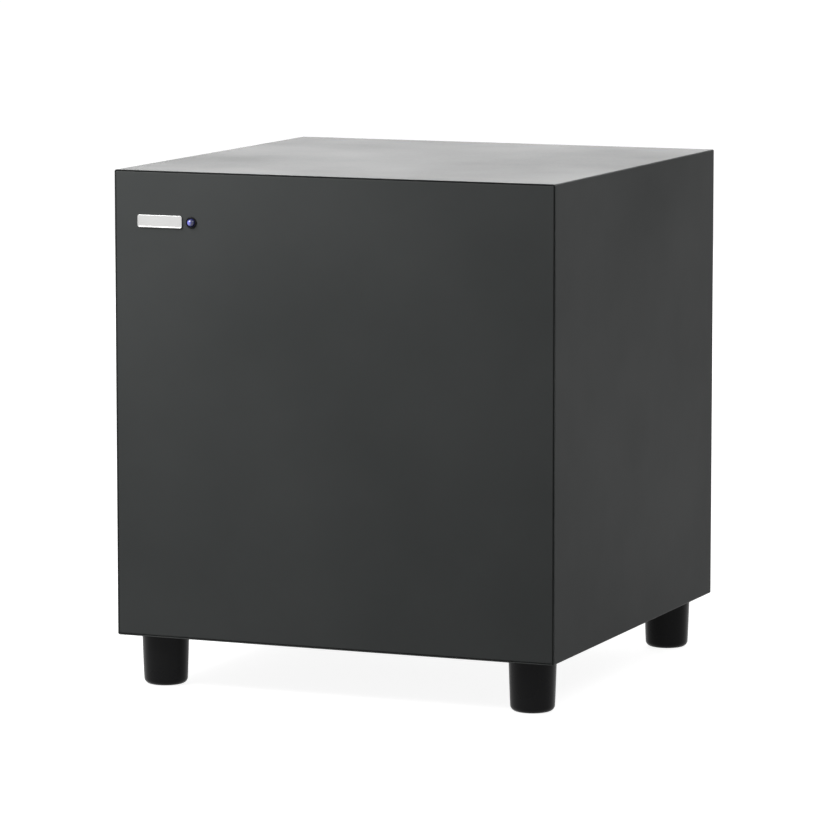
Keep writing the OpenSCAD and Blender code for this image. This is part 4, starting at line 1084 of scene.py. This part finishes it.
def controls():
    knob("volume_knob", "volume_knob", "volume_knob_grip")
    knob("crossover_knob", "crossover_knob", "crossover_knob_grip")
    for node, body, radius, paint in (
            ("phase_slider", "phase_slider", 0.2, "black_plastic"),
            ("mode_slider", "mode_slider", 0.2, "black_plastic"),
            ("mains_rocker", "mains_rocker", 0.35, "black_plastic"),
            ("mains_switch", "cabinet", 0.3, "black_plastic"),
            ("speaker_terminals", "cabinet", 0.35, "black_plastic"),
            ("speaker_lever_1", "speaker_lever_1", 0.45, "red_plastic"),
            ("speaker_lever_2", "speaker_lever_2", 0.45, "black_plastic"),
            ("speaker_lever_3", "speaker_lever_3", 0.45, "red_plastic"),
            ("speaker_lever_4", "speaker_lever_4", 0.45, "black_plastic")):
        settle(softened(node, radius), node + "_moulding", paint, body, [node])


def inlet():
    """The mains inlet's moulding, its three blades in metal."""
    low, high = (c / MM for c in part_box("mains_inlet"))
    piece = softened("mains_inlet", 0.3)
    piece.data.materials.append(paints["black_plastic"])
    piece.data.materials.append(paints["control_metal"])
    x, face, z = (low.x + high.x) / 2, high.y, (low.z + high.z) / 2
    for polygon in piece.data.polygons:
        at = polygon.center / MM
        for across, up in ((-7, -1.5), (0, 2), (7, -1.5)):
            near = abs(at.x - x - across) < 1.1 and abs(at.z - z - up) < 2.5
            if near and (face - 14.9 < at.y < face - 2.5 or at.y < face - 22.1):
                polygon.material_index = 1
    settle(piece, "mains_inlet_moulding", "black_plastic", "cabinet", ["mains_inlet"])


def line_inputs():
    """Two line sockets: a metal barrel round a coloured insulator, on one moulded block."""
    low, high = (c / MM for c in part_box("line_sockets"))
    centre = (low + high) / 2
    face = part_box("amp_plate")[1].y / MM
    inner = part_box("amp_plate")[0].y / MM
    housing = block((low.x, low.y, low.z), (high.x, inner, high.z))
    round_edges(housing, 0.5, 3)
    housing.data.materials.append(paints["component_black"])
    made = [housing]
    for side, colour in ((-1, "red_plastic"), (1, "white_plastic")):
        place = (centre.x + side * 7.5, face, centre.z)
        out = high.y - face
        barrel = lathe([(3.5, -3.0), (4.15, -3.0), (4.15, 0), (5.25, 0), (5.25, 1.0), (4.15, 1.0),
                        (4.15, out - 0.3), (3.85, out), (3.5, out)], place, "Y", 56)
        round_edges(barrel, 0.12, 2)
        barrel.data.materials.append(paints["socket_metal"])
        plug = lathe([(1.65, -6.0), (3.5, -6.0), (3.5, out - 0.5), (1.9, out - 0.5),
                      (1.65, out - 0.8)], place, "Y", 48)
        plug.data.materials.append(paints[colour])
        made += [barrel, plug]
    settle(join(made), "line_socket_pair", "socket_metal", "cabinet", ["line_sockets"])


# Inside the cabinet


def inner_parts():
    low, high = (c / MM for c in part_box("transformer"))
    centre = (low + high) / 2
    outer, tall = (high.x - low.x) / 2, (high.y - low.y)
    hole, corner = 12, 6
    mid, half = (outer + hole) / 2, (outer - hole) / 2
    corners = []
    for x, y, start in ((mid + half - corner, corner, -90),
                        (mid + half - corner, tall - corner, 0),
                        (mid - half + corner, tall - corner, 90),
                        (mid - half + corner, corner, 180)):
        corners += arc(x, y, corner, start, start + 90, 8)
    core = lathe(corners, (centre.x, low.y, centre.z), "Y", 120)
    settle(core, "transformer_winding", "winding_tape", "cabinet", ["transformer"], smooth=50)

    low, high = (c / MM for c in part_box("filter_capacitors"))
    height = (low.z + high.z) / 2
    cans = []
    for x in (low.x + 11, high.x - 11):
        can = lathe([(0, 0.3), (8.6, 0.3), (9.0, 0), (10.6, 0), (11, 0.5), (11, 27.5), (10.4, 28.2),
                     (10.4, 28.8), (11, 29.4), (11, 31.5), (10.6, 32), (0, 32)],
                    (x, low.y, height), "Y", 72, closed=False)
        for turn in (45, 135):
            mark = block((-5, -0.5, -0.25), (5, 0.55, 0.25))
            mark.rotation_euler.y = math.radians(turn)
            mark.location = (x * MM, low.y * MM, height * MM)
            pick(mark)
            bpy.ops.object.transform_apply(location=True, rotation=True)
            cut(can, mark)
        round_edges(can, 0.25, 2, angle=45)
        cans.append(can)
    settle(join(cans), "filter_capacitor_cans", "component_black", "cabinet", ["filter_capacitors"])

    for node, name in (("speaker_leads", "speaker_lead_pair"), ("lamp_lead", "lamp_lead_cover"),
                       ("power_leads", "power_lead_set")):
        lead = softened(node, 0)
        modify(lead, "SUBSURF", levels=1, render_levels=1)
        settle(lead, name, "lead_cover", "cabinet", [node], smooth=60)

    quilt = softened("wadding", 0)
    modify(quilt, "REMESH", mode="VOXEL", voxel_size=4 * MM)
    soft = bpy.data.textures.new("wadding_lumps", "CLOUDS")
    soft.noise_scale = 0.03
    modify(quilt, "DISPLACE", texture=soft, strength=-5 * MM, mid_level=0.2,
           texture_coords="GLOBAL")
    modify(quilt, "SMOOTH", factor=0.5, iterations=3)
    settle(quilt, "wadding_quilt", "wadding", "cabinet", ["wadding"], smooth=80)


front_board()
for corner in ("front_left_foot", "front_right_foot", "rear_left_foot", "rear_right_foot"):
    foot(corner)
badge()
lamp()
all_screws()
driver_parts()
tinsel()
port()
plate()
printed_marks()
controls()
inlet()
line_inputs()
inner_parts()

set_camera()
set_world()
lay_floor()
soft_light("key_light", (-0.34, -0.46, 0.62), (-0.12, -0.14, 0.27), 0.4, 0.4, 5.4)
soft_light("side_light", (0.62, -0.2, 0.8), (0.14, -0.02, 0.24), 0.45, 0.45, 1.8)
soft_light("back_light", (-0.9, 2.3, 1.0), (0, 0, 0.31), 1.8, 1.2, 24)
